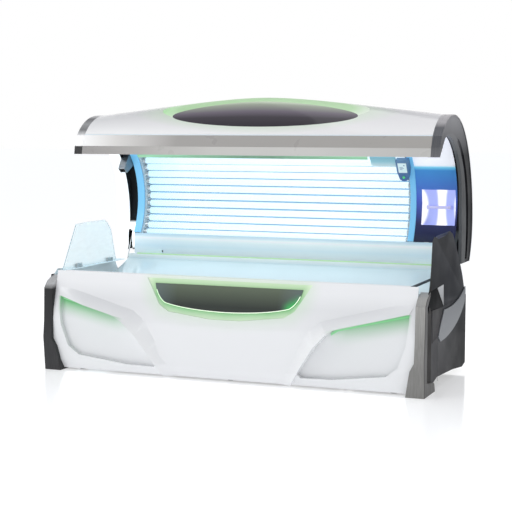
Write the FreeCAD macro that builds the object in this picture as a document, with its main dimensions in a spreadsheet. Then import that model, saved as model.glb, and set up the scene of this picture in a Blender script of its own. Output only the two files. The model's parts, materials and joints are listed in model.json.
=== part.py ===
"""Clamshell tanning bed: a bench with a moulded front, a hinged canopy and its two gas springs.

Frame: +X runs towards the head end, -Y is the side a person gets in from, +Z is up. The origin
lies on the floor under the middle of the bed. The canopy is drawn open. Millimetres throughout.
"""
import FreeCAD, Part
import math
import os
import re
import Sketcher
from FreeCAD import Placement, Rotation, Vector

SIZES = {
    # Bench, from the side
    "bed_length": 2270,
    "bench_front": 585,
    "bench_rear": 335,
    "rim_height": 575,
    "ledge_rise": 28,
    "corner_notch": 100,
    "skirt_gap": 12,
    "sheet_wall": 2,
    "cover_wall": 4,
    "seat_gap": 0.3,
    # Front posts and their feet
    "post_width": 55,
    "post_depth": 47,
    "post_top": 546,
    "post_top_back": 105,
    "shoulder_height": 480,
    "waist_height": 289,
    "toe_height": 194,
    "toe_bulge": 17,
    "foot_width": 105,
    "foot_depth": 221,
    "foot_heel": 51,
    # Moulded front panel
    "panel_wall": 5,
    "hood_face": 6,
    "hood_knee": 350,
    "hood_lean": 70,
    "skirt_tuck": 45,
    "brow_reach": 55,
    "pocket_depth": 30,
    "emblem_depth": 10,
    "emblem_wall": 7,
    "slot_light_height": 14,
    # Side panels, end cover and fin
    "side_inset": 6,
    "side_split": 440,
    "blade_wall": 5.7,
    "fin_width": 71,
    "fin_top": 831,
    "shield_wall": 6,
    "shield_inset": 75,
    # Frame under the bench
    "tube_wide": 60,
    "tube_tall": 40,
    "tube_wall": 3,
    "foot_clearance": 60,
    "rail_front": 500,
    "rail_rear": 315,
    "upright_wide": 40,
    "levelling_pad": 25,
    "levelling_stud": 6,
    # Lying surface and bench lamps
    "trough_radius": 892,
    "front_land": 15,
    "rear_land": 74,
    "end_deck": 105,
    "acrylic_wall": 5,
    "lamp_radius": 19,
    "lamp_air": 8,
    "bench_lamp_count": 16,
    "bench_lamp_inset": 45,
    "holder_wide": 20,
    # Tunnel of the canopy
    "tunnel_middle": 23,
    "tunnel_rise": 350,
    "tunnel_radius": 420,
    "cap_deep": 70,
    "tunnel_low": -31.5,
    "tunnel_high": 118,
    "reflector_high": 110,
    "canopy_lamp_low": -28.5,
    "canopy_lamp_count": 23,
    "lamp_inset": 55,
    "lamp_end_gap": 30,
    "frame_proud": 8,
    "frame_wide": 35,
    # Canopy, from the side
    "canopy_inset": 20,
    "canopy_rear": 536,
    "waist_rise": 250,
    "crest_middle": 50,
    "crest_rise": 230,
    "nose_reach": 300,
    "nose_drop": 233,
    "tail_drop": 462,
    "bottom_rise": 20,
    "lip_front": 250,
    "lip_level": 643,
    "lip_rise": 48,
    "lip_lean": 9,
    "crease_rise": 113,
    "crease_front": 210,
    "shell_tuck": 130,
    "crown_rise": 100,
    "crown_middle": 30,
    "crown_front": 240,
    "crown_back": 360,
    "strip_wide": 52,
    "strip_wall": 4,
    "mouth_deep": 18,
    "mouth_lip": 15,
    "groove_deep": 8,
    # Dome lens on the crown
    "lens_across": 36,
    "lens_middle": -100,
    "lens_length": 1140,
    "lens_width": 140,
    "glow_across": 18,
    "glow_middle": -45,
    "glow_length": 1280,
    "glow_width": 248,
    # Head bay and its fittings
    "bay_length": 245,
    "window_inset": 33,
    "window_length": 202,
    "window_drop": 122,
    "window_rise": 86,
    "face_mouth": 446,
    "face_back": 474,
    "face_flare": 57,
    "burner_back": 448,
    "burner_radius": 9,
    "burner_cap": 12,
    "pod_angle": 32,
    "pod_inset": 92,
    "pod_wide": 74,
    "pod_tall": 140,
    "pod_deep": 45,
    "display_wide": 52,
    "display_tall": 66,
    "button_radius": 7,
    "button_proud": 3,
    "button_travel": 1.5,
    "nozzle_wide": 150,
    "nozzle_pin": 5,
    # Canopy hinges
    "hinge_back": 495,
    "hinge_height": 600,
    "hinge_inset": 255,
    "pin_radius": 10,
    "pin_fit": 0.05,
    "arm_wall": 16,
    "cheek_wall": 8,
    "cheek_gap": 2,
    "rib_wall": 4,
    # Gas springs
    "spring_inset": 60,
    "spring_foot_back": 215,
    "spring_foot_height": 300,
    "spring_head_back": 425,
    "spring_head_rise": 145,
    "spring_tube": 11,
    "spring_rod": 4,
    "spring_tube_length": 252,
    "piston_depth": 52,
    "eye_radius": 12,
    "eye_wide": 22,
    "stud_radius": 6,
    # Fans, ballasts and inlet
    "fan_side": 420,
    "fan_height": 250,
    "fan_radius": 95,
    "fan_deep": 45,
    "fan_tip_gap": 3,
    "fan_blades": 7,
    "ballast_count": 8,
    "ballast_length": 150,
    "ballast_width": 60,
    "ballast_height": 45,
    "inlet_radius": 14,
}

doc = FreeCAD.newDocument("tanning_bed")
sheet = doc.addObject("Spreadsheet::Sheet", "Sizes")
for row, (alias, number) in enumerate(SIZES.items(), start=1):
    sheet.set(f"A{row}", alias)
    sheet.set(f"B{row}", str(number))
    sheet.setAlias(f"B{row}", alias)
doc.recompute()


def expression(text):
    """The same text with each size name pointing at its cell."""
    return re.sub(r"[a-z_]+", lambda word: "Sizes." + word[0] if word[0] in SIZES else word[0], str(text))


def value(text):
    """The number that an expression of size names comes to."""
    return float(sheet.evalExpression(expression(text)))


def bind(item, **properties):
    """Ties properties to expressions; a double underscore stands for a dot."""
    for name, text in properties.items():
        item.setExpression(name.replace("__", "."), expression(text))
    return item


def plane_of(body, role):
    return [plane for plane in body.Origin.OriginFeatures if plane.Role == role][0]


def outline_sketch(body, role, points):
    """A closed straight-sided sketch whose every corner is tied to the sheet."""
    sketch = body.newObject("Sketcher::SketchObject", body.Name + "_outline")
    sketch.AttachmentSupport = [(plane_of(body, role), "")]
    sketch.MapMode = "FlatFace"
    corners = [Vector(value(across), value(up), 0) for across, up in points]
    for corner, following in zip(corners, corners[1:] + corners[:1]):
        sketch.addGeometry(Part.LineSegment(corner, following), False)
    for edge in range(len(corners)):
        sketch.addConstraint(Sketcher.Constraint("Coincident", edge, 2, (edge + 1) % len(corners), 1))
    for edge, (across, up) in enumerate(points):
        for kind, text, number in (("DistanceX", across, corners[edge].x),
                                   ("DistanceY", up, corners[edge].y)):
            place = sketch.addConstraint(Sketcher.Constraint(kind, -1, 1, edge, 1, number))
            sketch.setExpression(f"Constraints[{place}]", expression(text))
    return sketch


def new_body(label):
    body = doc.addObject("PartDesign::Body", label)
    body.Label = label
    return body


def padded(label, role, points, length):
    body = new_body(label)
    pad = body.newObject("PartDesign::Pad", label + "_pad")
    pad.Profile = outline_sketch(body, role, points)
    bind(pad, Length=length)
    return body


def prism_x(label, points, start, length):
    """A side outline (Y, Z) pulled along +X from start."""
    return bind(padded(label, "YZ_Plane", points, length), Placement__Base__x=start)


def prism_y(label, points, start, length):
    """A front outline (X, Z) pulled along +Y from start."""
    return bind(padded(label, "XZ_Plane", points, length), Placement__Base__y=f"{start} + {length}")


def box(label, start, lengths):
    block = doc.addObject("Part::Box", label)
    block.Label = label
    bind(block, Length=lengths[0], Width=lengths[1], Height=lengths[2])
    return bind(block, Placement__Base__x=start[0], Placement__Base__y=start[1], Placement__Base__z=start[2])


def rod(label, direction, start, length, radius):
    """A round bar along one axis of the frame."""
    bar = doc.addObject("Part::Cylinder", label)
    bar.Label = label
    bar.Placement = Placement(Vector(), Rotation(Vector(0, 0, 1), direction))
    bind(bar, Radius=radius, Height=length)
    return bind(bar, Placement__Base__x=start[0], Placement__Base__y=start[1], Placement__Base__z=start[2])


def curved_sheet(label, start, length, middle, radius, wall, low, high):
    """A sheet bent about a line along X, from angle low to angle high above +Y."""
    body = new_body(label)
    revolution = body.newObject("PartDesign::Revolution", label + "_bend")
    end = f"{start} + {length}"
    corners = [(start, radius), (end, radius), (end, f"{radius} + {wall}"), (start, f"{radius} + {wall}")]
    revolution.Profile = outline_sketch(body, "XZ_Plane", corners)
    revolution.ReferenceAxis = (revolution.Profile[0], ["H_Axis"])
    bind(revolution, Angle=f"{high} - ({low})")
    body.Placement = Placement(Vector(), Rotation(Vector(1, 0, 0), 10))
    bind(body, Placement__Base__y=middle[0], Placement__Base__z=middle[1])
    return bind(body, Placement__Rotation__Angle=f"{low} - 90")


def cut(label, base, tool):
    result = doc.addObject("Part::Cut", label)
    result.Label = label
    result.Base, result.Tool = base, tool
    return result


def common(label, first, second):
    result = doc.addObject("Part::Common", label)
    result.Label = label
    result.Base, result.Tool = first, second
    return result


def joined(label, *pieces):
    result = doc.addObject("Part::MultiFuse", label)
    result.Label = label
    result.Shapes = list(pieces)
    return result


def group(label, pieces):
    """Separate solids that share one node."""
    result = doc.addObject("Part::Compound", label)
    result.Label = label
    result.Links = list(pieces)
    return result


def feature(label, shape):
    result = doc.addObject("Part::Feature", label)
    result.Label = label
    result.Shape = shape
    return result


def negative(text):
    return f"-({text})"


HALF = "bed_length / 2"
FRONT = "-bench_front"
SIDES = (("left", -1), ("right", 1))
TROUGH_LENGTH = "(bed_length - 2 * end_deck)"
TROUGH_FRONT = "(bench_front - hood_lean - panel_wall - front_land)"
TROUGH_REAR = "(bench_rear - rear_land)"
TROUGH_WIDTH = f"({TROUGH_FRONT} + {TROUGH_REAR})"
TROUGH_MIDDLE = f"(({TROUGH_FRONT} - {TROUGH_REAR}) / 2)"
LEDGE_FRONT = f"(-{TROUGH_MIDDLE} + {TROUGH_WIDTH} / 2 + acrylic_wall + 3)"
LEDGE_WIDTH = f"(0.6 * (bench_rear - cover_wall - seat_gap - {LEDGE_FRONT}))"
LEDGE_TOP = "(rim_height + ledge_rise)"
CANOPY_BOTTOM = "(hinge_height + bottom_rise)"
TUNNEL_HEIGHT = "(hinge_height + tunnel_rise)"
WAIST_LEVEL = "(hinge_height + waist_rise)"
LIP_HEIGHT = "(hinge_height + lip_level)"
WINDOW_LOW = f"({TUNNEL_HEIGHT} - window_drop)"
WINDOW_HIGH = f"({TUNNEL_HEIGHT} + window_rise)"
SPRING_HEAD_HEIGHT = "(hinge_height + spring_head_rise)"
BENCH_LAMP_LENGTH = f"({TROUGH_LENGTH} - 2 * bench_lamp_inset)"
CANOPY_LENGTH = "(bed_length - 2 * canopy_inset)"
TUNNEL_LENGTH = f"({CANOPY_LENGTH} - 2 * cap_deep)"
BAY_START = f"({TUNNEL_LENGTH} / 2 - bay_length)"
CANOPY_LAMP_START = f"(lamp_inset - {TUNNEL_LENGTH} / 2)"
CANOPY_LAMP_LENGTH = f"({BAY_START} - lamp_end_gap - ({CANOPY_LAMP_START}))"
HINGE_SIDE = "(bed_length / 2 - hinge_inset)"
SPRING_SIDE = "(bed_length / 2 - spring_inset)"
WINDOW_START = f"({BAY_START} + window_inset)"
WINDOW_END = f"({WINDOW_START} + window_length)"
POD_START = f"({BAY_START} - pod_inset)"


# ---------------------------------------------------------------- bench outline

POST_SIDE = [
    (FRONT, "0"),
    (f"{FRONT} - toe_bulge", "toe_height"),
    (f"{FRONT} - toe_bulge / 3", "waist_height"),
    (f"{FRONT} + 3", "shoulder_height"),
    (f"{FRONT} + post_top_back / 3", "shoulder_height + 35"),
    (f"{FRONT} + post_top_back", "post_top"),
    (f"{FRONT} + post_top_back - 6", "post_top - 24"),
    (f"{FRONT} + post_depth", "shoulder_height - 10"),
    (f"{FRONT} + post_depth", "foot_heel + 22"),
    (f"{FRONT} + foot_depth - 20", "foot_heel"),
    (f"{FRONT} + foot_depth", "0"),
]


def front_post(side, sign):
    """A post whose foot flares inwards near the floor."""
    inner, flare = f"({HALF} - post_width)", f"({HALF} - foot_width)"
    front = [(flare, "0"), (HALF, "0"), (HALF, "post_top + 20"), (inner, "post_top + 20"),
             (inner, "toe_height - 9"), (f"{flare} + 25", "toe_height - 54")]
    if sign < 0:
        front = [(negative(across), up) for across, up in reversed(front)]
    side_body = prism_x(f"post_side_{side}", POST_SIDE, negative(HALF), "bed_length")
    front_body = prism_y(f"post_front_{side}", front, f"{FRONT} - 60", "400")
    return common(f"front_post_{side}", side_body, front_body)


def side_panel(side, sign):
    outline = [
        (f"{FRONT} + post_depth + seat_gap", "foot_heel + 24"),
        (f"{FRONT} + foot_depth - 20", "foot_heel + seat_gap"),
        (f"{FRONT} + foot_depth + 57", "68"),
        ("26", "51"),
        ("bench_rear - 68", "27"),
        ("bench_rear + 3", "42"),
        ("bench_rear + 3", "side_split"),
        (f"{FRONT} + post_depth + seat_gap", "side_split"),
    ]
    face = f"{HALF} - side_inset"
    start = f"{face} - cover_wall" if sign > 0 else negative(face)
    return prism_x(f"side_panel_{side}", outline, start, "cover_wall")


def side_blade(side, sign):
    """The pale swept blade that lies on a side panel."""
    outline = [("-211", "side_split - 6"), ("-258", "327"), ("-211", "260"), ("80", "307"), ("219", "386"),
               ("275", "side_split - 6"), ("190", "side_split - 6"), ("60", "345"), ("-180", "305"),
               ("-205", "335")]
    start = f"{HALF} - side_inset + seat_gap" if sign > 0 else negative(HALF)
    return prism_x(f"side_blade_{side}", outline, start, "blade_wall")


def polygon(corners):
    return Part.makePolygon(corners + corners[:1])


FIN_OUTER = [(-499, 430), (-479, 546), (-440, 811), (-402, 831), (-306, 812), (-155, 819), (-67, 837),
             (3, 815),
             (76, 748), (178, 642), (244, 561), (299, 469), (310, 441)]
FIN_INNER = [(-273, 430), (-215, 546), (-150, 760), (-111, 800), (-90, 806), (-70, 808), (-45, 808), (0, 790),
             (60, 725), (120, 642), (165, 561), (205, 469), (215, 441)]


def head_fin():
    """A hollow fin over the head-end side panel: thin in front, full width behind, open below."""
    outer_face = value(f"{HALF} - side_inset")
    inner_face = outer_face - value("fin_width")
    wall = value("cover_wall")
    base = value("side_split + seat_gap")
    lift = value("fin_top") / max(up for _, up in FIN_OUTER[:4])

    def ring(outline, face, inset):
        wire = polygon([Vector(face, back, base if up < base + 2 else up * lift) for back, up in outline])
        return wire.makeOffset2D(-inset, join=2) if inset else wire

    skin = Part.makeLoft([ring(FIN_OUTER, outer_face, 0), ring(FIN_INNER, inner_face, 0)], True, True)
    core = Part.makeLoft([ring(FIN_OUTER, outer_face - wall, wall), ring(FIN_INNER, inner_face + wall, wall)],
                         True, True)
    mouth = Part.makeBox(value("fin_width") - 2 * wall - 4, 300, 2 * wall + 2,
                         Vector(inner_face + wall + 2, -160, base - 1))
    deck_start = value(f"{TROUGH_LENGTH} / 2 + 3")
    deck_front = value("hood_lean + panel_wall - bench_front") + 1
    deck = Part.makeBox(inner_face - deck_start, 285 - deck_front, wall,
                        Vector(deck_start, deck_front, value("rim_height") - wall))
    return feature("head_fin", Part.makeCompound([skin.cut(core).cut(mouth), deck]))


def foot_end_cover():
    """The low cover of the foot end: a side wall with the deck beside the lying surface."""
    face = f"{HALF} - side_inset"
    wall = [(f"{FRONT} + 85", "side_split + seat_gap"), ("bench_rear + 3", "side_split + seat_gap"),
            ("bench_rear - 30", "side_split + 60"), ("bench_rear - 80", "rim_height"),
            (f"{FRONT} + post_top_back + 40", "rim_height"), (f"{FRONT} + post_top_back + 1", "post_top")]
    side = prism_x("foot_end_wall", wall, negative(face), "cover_wall")
    deck = box("foot_end_deck", (negative(face), f"{FRONT} + post_top_back + 40", "rim_height - cover_wall"),
               (f"{face} - {TROUGH_LENGTH} / 2 - 3", "bench_front - post_top_back + 185", "cover_wall"))
    corner = box("foot_end_corner", (f"post_width + 1 - {HALF}", "hood_lean + panel_wall + 1 - bench_front",
                                     "rim_height - cover_wall"),
                 (f"{HALF} - post_width - {TROUGH_LENGTH} / 2 - 4",
                  "post_top_back - hood_lean - panel_wall + 60",
                  "cover_wall"))
    return joined("foot_end_cover", side, deck, corner)


SHIELD = [("-502", "rim_height + seat_gap"), ("-341", "fin_top - 1"), ("-250", "fin_top + 4"),
          ("3", "fin_top + 4"),
          ("40", "fin_top - 14"), ("87", "769"), ("149", "rim_height + seat_gap")]


def foot_shield():
    start = negative(f"{HALF} - shield_inset")
    return prism_x("foot_shield", SHIELD, start, "shield_wall")


def shield_clamps():
    """Two small channels that hold the lower edge of the shield on the deck."""
    clamps = []
    for place in ("-360", "20"):
        start = negative(f"{HALF} - shield_inset + 10")
        block = box(f"clamp_block_{len(clamps)}", (start, place, "rim_height"), ("26", "70", "22"))
        slit = box(f"clamp_slit_{len(clamps)}",
                   (negative(f"{HALF} - shield_inset + seat_gap"), f"{place} - 1", "rim_height - 1"),
                   ("shield_wall + 2 * seat_gap", "72", "40"))
        clamps.append(cut(f"clamp_{len(clamps)}", block, slit))
    return group("shield_clamps", clamps)


for side_name, side_sign in SIDES:
    front_post(side_name, side_sign)
    side_panel(side_name, side_sign)
group("side_blades", [side_blade(side_name, side_sign) for side_name, side_sign in SIDES])
head_fin()
foot_end_cover()
foot_shield()
shield_clamps()


# ---------------------------------------------------------------- moulded front panel

def hood_profile():
    """Front face of the panel in the middle of the bed, as (depth behind bench_front, height)."""
    return [(value("skirt_tuck"), value("skirt_gap")), (value("skirt_tuck") / 2, 60),
            (value("hood_face") + 4, 140),
            (value("hood_face"), 300), (value("hood_face") + 6, value("hood_knee")),
            (value("hood_lean"), value("rim_height"))]


def hood_depth(height):
    """Depth of the hood face at a height."""
    profile = hood_profile()
    for (near, low), (far, high) in zip(profile, profile[1:]):
        if height <= high:
            return near + (far - near) * (height - low) / (high - low)
    return profile[-1][0]


def hood_slab(front, back):
    """Everything between the hood face moved back by front and by back."""
    length = value("bed_length")
    near = [Vector(-length / 2, depth - value("bench_front") + front, up) for depth, up in hood_profile()]
    far = [Vector(-length / 2, depth - value("bench_front") + back, up) for depth, up in hood_profile()]
    return Part.Face(polygon(near + far[::-1])).extrude(Vector(length, 0, 0))


STRETCH = value("bed_length") / 2270
LIFT = value("rim_height") / 575


def front_cut(outline, grow=0):
    """A front outline (X, Z) pulled right through the panel, grown by a margin."""
    depth = value("bench_front")
    wire = polygon([Vector(across, -1.5 * depth, up) for across, up in outline])
    if grow:
        wire = wire.makeOffset2D(grow, join=2)
    return Part.Face(wire).extrude(Vector(0, 1.3 * depth, 0))


def stretched(points):
    """Points of the front, drawn for a bed 2270 long with its rim at 575, spread to the present sizes."""
    return [(across * STRETCH, up * LIFT, *rest) for across, up, *rest in points]


def mirrored_outline(outline):
    return [(-across, up) for across, up in reversed(outline)]


BROW_EDGE = stretched([(1041, 431, 25), (858, 389, -30), (652, 338, -50), (605, 313, -55), (532, 237, -40),
                       (470, 147, -25), (425, 77, -8), (383, 12, 20)])
BROW_RIDGE = stretched([(1072, 495), (920, 464), (740, 418), (560, 372), (478, 318), (417, 200), (352, 80),
                        (310, 12)])
POCKET_FOOT = stretched([(440, 56), (620, 60), (920, 98), (985, 150), (1030, 270), (1041, 374)])
POCKET = [(across, up) for across, up, _ in BROW_EDGE[:7]] + POCKET_FOOT
EMBLEM_RECESS = stretched([(-495, 558), (495, 558), (405, 415), (345, 378), (90, 348), (-90, 348),
                           (-345, 378),
                           (-405, 415)])
EMBLEM_PLATE = stretched([(-440, 530), (440, 530), (385, 446), (330, 415), (100, 389), (-100, 389),
                          (-330, 415),
                          (-385, 446)])


def recessed(panel, outline, depth):
    """Sinks an outline into the panel and gives the sunk tray its own wall."""
    wall = value("panel_wall")
    tray = hood_slab(0, depth + wall).common(front_cut(outline, wall))
    return panel.fuse(tray).cut(hood_slab(-300, depth).common(front_cut(outline)))


def brow(sign):
    """The raised brow that runs from the post down along the edge of a pocket."""
    start = -value("bench_front")
    reach = value("brow_reach") / 55
    back = value("pocket_depth")
    sections = []
    for (edge_across, edge_up, edge_depth), (ridge_across, ridge_up) in zip(BROW_EDGE, BROW_RIDGE):
        ridge_depth = hood_depth(ridge_up)
        edge_front = edge_depth * reach
        floor = hood_depth(edge_up) + back
        sections.append(polygon([
            Vector(sign * ridge_across, start + ridge_depth + 0.5, ridge_up),
            Vector(sign * edge_across, start + edge_front, edge_up),
            Vector(sign * edge_across, start + floor + 2, edge_up),
            Vector(sign * ridge_across, start + ridge_depth + 3, ridge_up),
        ]))
    return Part.makeLoft(sections, True, True)


def front_panel():
    wall = value("panel_wall")
    inner = value(f"{HALF} - post_width") - 1
    flare = value(f"{HALF} - foot_width") - 1
    toe = value("toe_height") - 9
    right = [(flare, 0), (flare + 25, toe - 45), (inner, toe), (inner, value("rim_height"))]
    edge = right + [(-across, up) for across, up in reversed(right)]
    panel = hood_slab(0, wall)
    panel = recessed(panel, POCKET, value("pocket_depth"))
    panel = recessed(panel, mirrored_outline(POCKET), value("pocket_depth"))
    panel = panel.fuse(brow(1)).fuse(brow(-1))
    panel = recessed(panel, EMBLEM_RECESS, value("emblem_depth"))
    return feature("front_panel", panel.common(front_cut(edge)).removeSplitter())


def emblem_plate():
    gap = value("seat_gap")
    depth = value("emblem_depth")
    plate = hood_slab(depth - value("emblem_wall"), depth - gap).common(front_cut(EMBLEM_PLATE))
    return feature("emblem_plate", plate)


def light_guides():
    """Green guides round the emblem plate and under both brows, and the strip along the rear rim."""
    gap = value("seat_gap")
    depth = value("emblem_depth")
    ring = hood_slab(depth - 4, depth - gap).common(front_cut(EMBLEM_RECESS, -gap))
    guides = [ring.cut(front_cut(EMBLEM_PLATE, gap))]
    drop = value("slot_light_height")
    top = [(across, up - 1) for across, up, _ in BROW_EDGE[:4]]
    slot = [(top[0][0] - 6, top[0][1] - 2)] + top[1:3] + [(top[3][0] + 8, top[3][1])]
    slot = slot + [(across, up - drop) for across, up in reversed(slot)]
    pocket = value("pocket_depth")
    for outline in (slot, mirrored_outline(slot)):
        guides.append(hood_slab(pocket - 12, pocket - gap).common(front_cut(outline)))
    ledge = value(LEDGE_WIDTH)
    strip_length = value(TROUGH_LENGTH) - value("end_deck")
    strip = Part.makeBox(strip_length, ledge / 3, 6,
                         Vector(-strip_length / 2, value(LEDGE_FRONT) + 0.45 * ledge, value(LEDGE_TOP) + gap))
    return feature("bench_light_guides", Part.makeCompound(guides + [strip]))


front_panel()
emblem_plate()
light_guides()


# ---------------------------------------------------------------- frame, tray and lying surface

def tube_x(label, start, length, back, low):
    """A steel tube along X."""
    outer = box(label + "_outer", (start, back, low), (length, "tube_wide", "tube_tall"))
    bore = box(label + "_bore", (start, f"{back} + tube_wall", f"{low} + tube_wall"),
               (length, "tube_wide - 2 * tube_wall", "tube_tall - 2 * tube_wall"))
    return cut(label, outer, bore)


RAIL_LENGTH = "bed_length - 2 * foot_width"
group("base_rails", [
    tube_x("rail_front", negative(f"({RAIL_LENGTH}) / 2"), RAIL_LENGTH, "-rail_front", "foot_clearance"),
    tube_x("rail_rear", negative(f"({RAIL_LENGTH}) / 2"), RAIL_LENGTH, "rail_rear - tube_wide",
           "foot_clearance"),
])

TROUGH_LEVEL = f"(rim_height + sqrt(trough_radius * trough_radius - {TROUGH_WIDTH} * {TROUGH_WIDTH} / 4))"
TROUGH_HALF = f"(asin({TROUGH_WIDTH} / 2 / trough_radius) / 1 deg)"
BENCH_REFLECTOR = "(trough_radius + acrylic_wall + 2 * lamp_air + 2 * lamp_radius + 2)"
TRAY_TOP = f"({TROUGH_LEVEL} - {BENCH_REFLECTOR} - sheet_wall - seat_gap)"
FRAME_TOP = "foot_clearance + tube_tall"


def frame_bars():
    """Cross bars between the rails, uprights under the tray and two tall ones behind the hinges."""
    bars = []
    for place in (f"-{HINGE_SIDE}", "-300", "300", HINGE_SIDE):
        bars.append(box(f"cross_bar_{len(bars)}",
                        (f"{place} - upright_wide / 2", "-rail_front + tube_wide", "foot_clearance"),
                        ("upright_wide", "rail_front + rail_rear - 2 * tube_wide", "tube_tall")))
    for back in ("-rail_front + 10", "rail_rear - tube_wide - 70"):
        for place in (f"-{HINGE_SIDE}", "0", HINGE_SIDE):
            if place == "0" and back.startswith("rail"):
                continue
            bars.append(box(f"upright_{len(bars)}", (f"{place} - upright_wide / 2", back, FRAME_TOP),
                            ("upright_wide", "upright_wide",
                             f"{TRAY_TOP} - sheet_wall - seat_gap - ({FRAME_TOP})")))
    for place in (f"-{HINGE_SIDE}", HINGE_SIDE):
        bars.append(box(f"upright_{len(bars)}", (f"{place} - 30", "rail_rear - 24", FRAME_TOP),
                        ("60", "bench_rear - cover_wall - seat_gap - rail_rear + 24", f"420 - {FRAME_TOP}")))
    for sign in ("-", ""):
        inner = f"{SPRING_SIDE} - eye_wide / 2 - 11"
        start = f"{inner} - 28" if not sign else f"-({inner})"
        bars.append(box(f"upright_{len(bars)}", (start, "spring_foot_back - 15", "foot_clearance"),
                        ("28", "30", "spring_foot_height + 25 - foot_clearance")))
        bars.append(box(f"spring_tie_{len(bars)}",
                        (f"{HINGE_SIDE} + upright_wide / 2" if not sign
                         else f"-({SPRING_SIDE} - eye_wide / 2 - 39)",
                         "spring_foot_back - 15", "foot_clearance"),
                        (f"{SPRING_SIDE} - eye_wide / 2 - 39 - {HINGE_SIDE} - upright_wide / 2", "30",
                         "tube_tall")))
    return group("frame_bars", bars)


def levelling_feet():
    feet = []
    for back in ("-rail_front + tube_wide / 2", "rail_rear - tube_wide / 2"):
        for place in (f"-{HINGE_SIDE} - 60", "0", f"{HINGE_SIDE} + 60"):
            name = f"foot_{len(feet)}"
            pad = rod(name + "_pad", Vector(0, 0, 1), (place, back, "0"), "14", "levelling_pad")
            stud = rod(name + "_stud", Vector(0, 0, 1), (place, back, "14"),
                       "foot_clearance - 14", "levelling_stud")
            feet.append(joined(name, pad, stud))
    return group("levelling_feet", feet)


def lamp_tray():
    """A folded steel tray under the bench reflector, closed at both ends."""
    reach = f"(({BENCH_REFLECTOR} + sheet_wall) * sin({TROUGH_HALF} - 2.5) + seat_gap)"
    middle = f"-{TROUGH_MIDDLE}"
    low = f"{TRAY_TOP} - sheet_wall"
    top = f"{TROUGH_LEVEL} - {BENCH_REFLECTOR} * cos({TROUGH_HALF} - 2.5) + 20"
    outline = [
        (f"{middle} - {reach} - sheet_wall", top), (f"{middle} - {reach} - sheet_wall", low),
        (f"{middle} + {reach} + sheet_wall", low), (f"{middle} + {reach} + sheet_wall", top),
        (f"{middle} + {reach}", top), (f"{middle} + {reach}", TRAY_TOP),
        (f"{middle} - {reach}", TRAY_TOP), (f"{middle} - {reach}", top),
    ]
    length = f"({TROUGH_LENGTH} - 30)"
    trough = prism_x("tray_trough", outline, negative(f"{length} / 2"), length)
    end_top = f"{TROUGH_LEVEL} - trough_radius - acrylic_wall - seat_gap"
    ends = [box(f"tray_end_{side_name}",
                (f"{length} / 2 - sheet_wall" if side_sign > 0 else negative(f"{length} / 2"),
                 f"{middle} - {reach}", low),
                ("sheet_wall", f"2 * {reach}", f"{end_top} - ({low})"))
            for side_name, side_sign in SIDES]
    return joined("lamp_tray", trough, *ends)


TROUGH = (f"-{TROUGH_MIDDLE}", TROUGH_LEVEL)
curved_sheet("bench_acrylic", f"-{TROUGH_LENGTH} / 2", TROUGH_LENGTH, TROUGH, "trough_radius", "acrylic_wall",
             f"270 - {TROUGH_HALF}", f"270 + {TROUGH_HALF}")
curved_sheet("bench_reflector", f"-{BENCH_LAMP_LENGTH} / 2 - holder_wide",
             f"{BENCH_LAMP_LENGTH} + 2 * holder_wide",
             TROUGH, BENCH_REFLECTOR, "sheet_wall", f"270 - {TROUGH_HALF} + 2.5",
             f"270 + {TROUGH_HALF} - 2.5")
frame_bars()
levelling_feet()
lamp_tray()


def lamp_fan(label, count, start, length, middle, ring, first, step):
    """A fan of lamps, each with a round end cap a little smaller than the glass."""
    lamps = []
    for place in range(count):
        angle = f"({first} + {place} * {step})"
        lamps.append(rod(f"{label}_{place}", Vector(1, 0, 0),
                         (start, f"{middle[0]} + {ring} * cos({angle})",
                          f"{middle[1]} + {ring} * sin({angle})"),
                         length, "lamp_radius"))
    return group(label, lamps)


BENCH_RING = "(trough_radius + acrylic_wall + lamp_air + lamp_radius)"
BENCH_STEP = f"(2 * ({TROUGH_HALF} - 3.3) / (bench_lamp_count - 1))"
lamp_fan("bench_lamps", int(value("bench_lamp_count")), f"-{BENCH_LAMP_LENGTH} / 2", BENCH_LAMP_LENGTH,
         TROUGH,
         BENCH_RING, f"270 - (bench_lamp_count - 1) / 2 * {BENCH_STEP}", BENCH_STEP)
group("bench_lamp_holders", [
    curved_sheet(f"bench_holder_{side_name}",
                 f"{BENCH_LAMP_LENGTH} / 2 + seat_gap" if side_sign > 0
                 else f"-{BENCH_LAMP_LENGTH} / 2 - holder_wide",
                 "holder_wide - seat_gap", TROUGH, f"{BENCH_RING} - lamp_radius",
                 "2 * lamp_radius + lamp_air + 2 - seat_gap",
                 f"270 - {TROUGH_HALF} + 2.5", f"270 + {TROUGH_HALF} - 2.5")
    for side_name, side_sign in SIDES])

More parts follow.
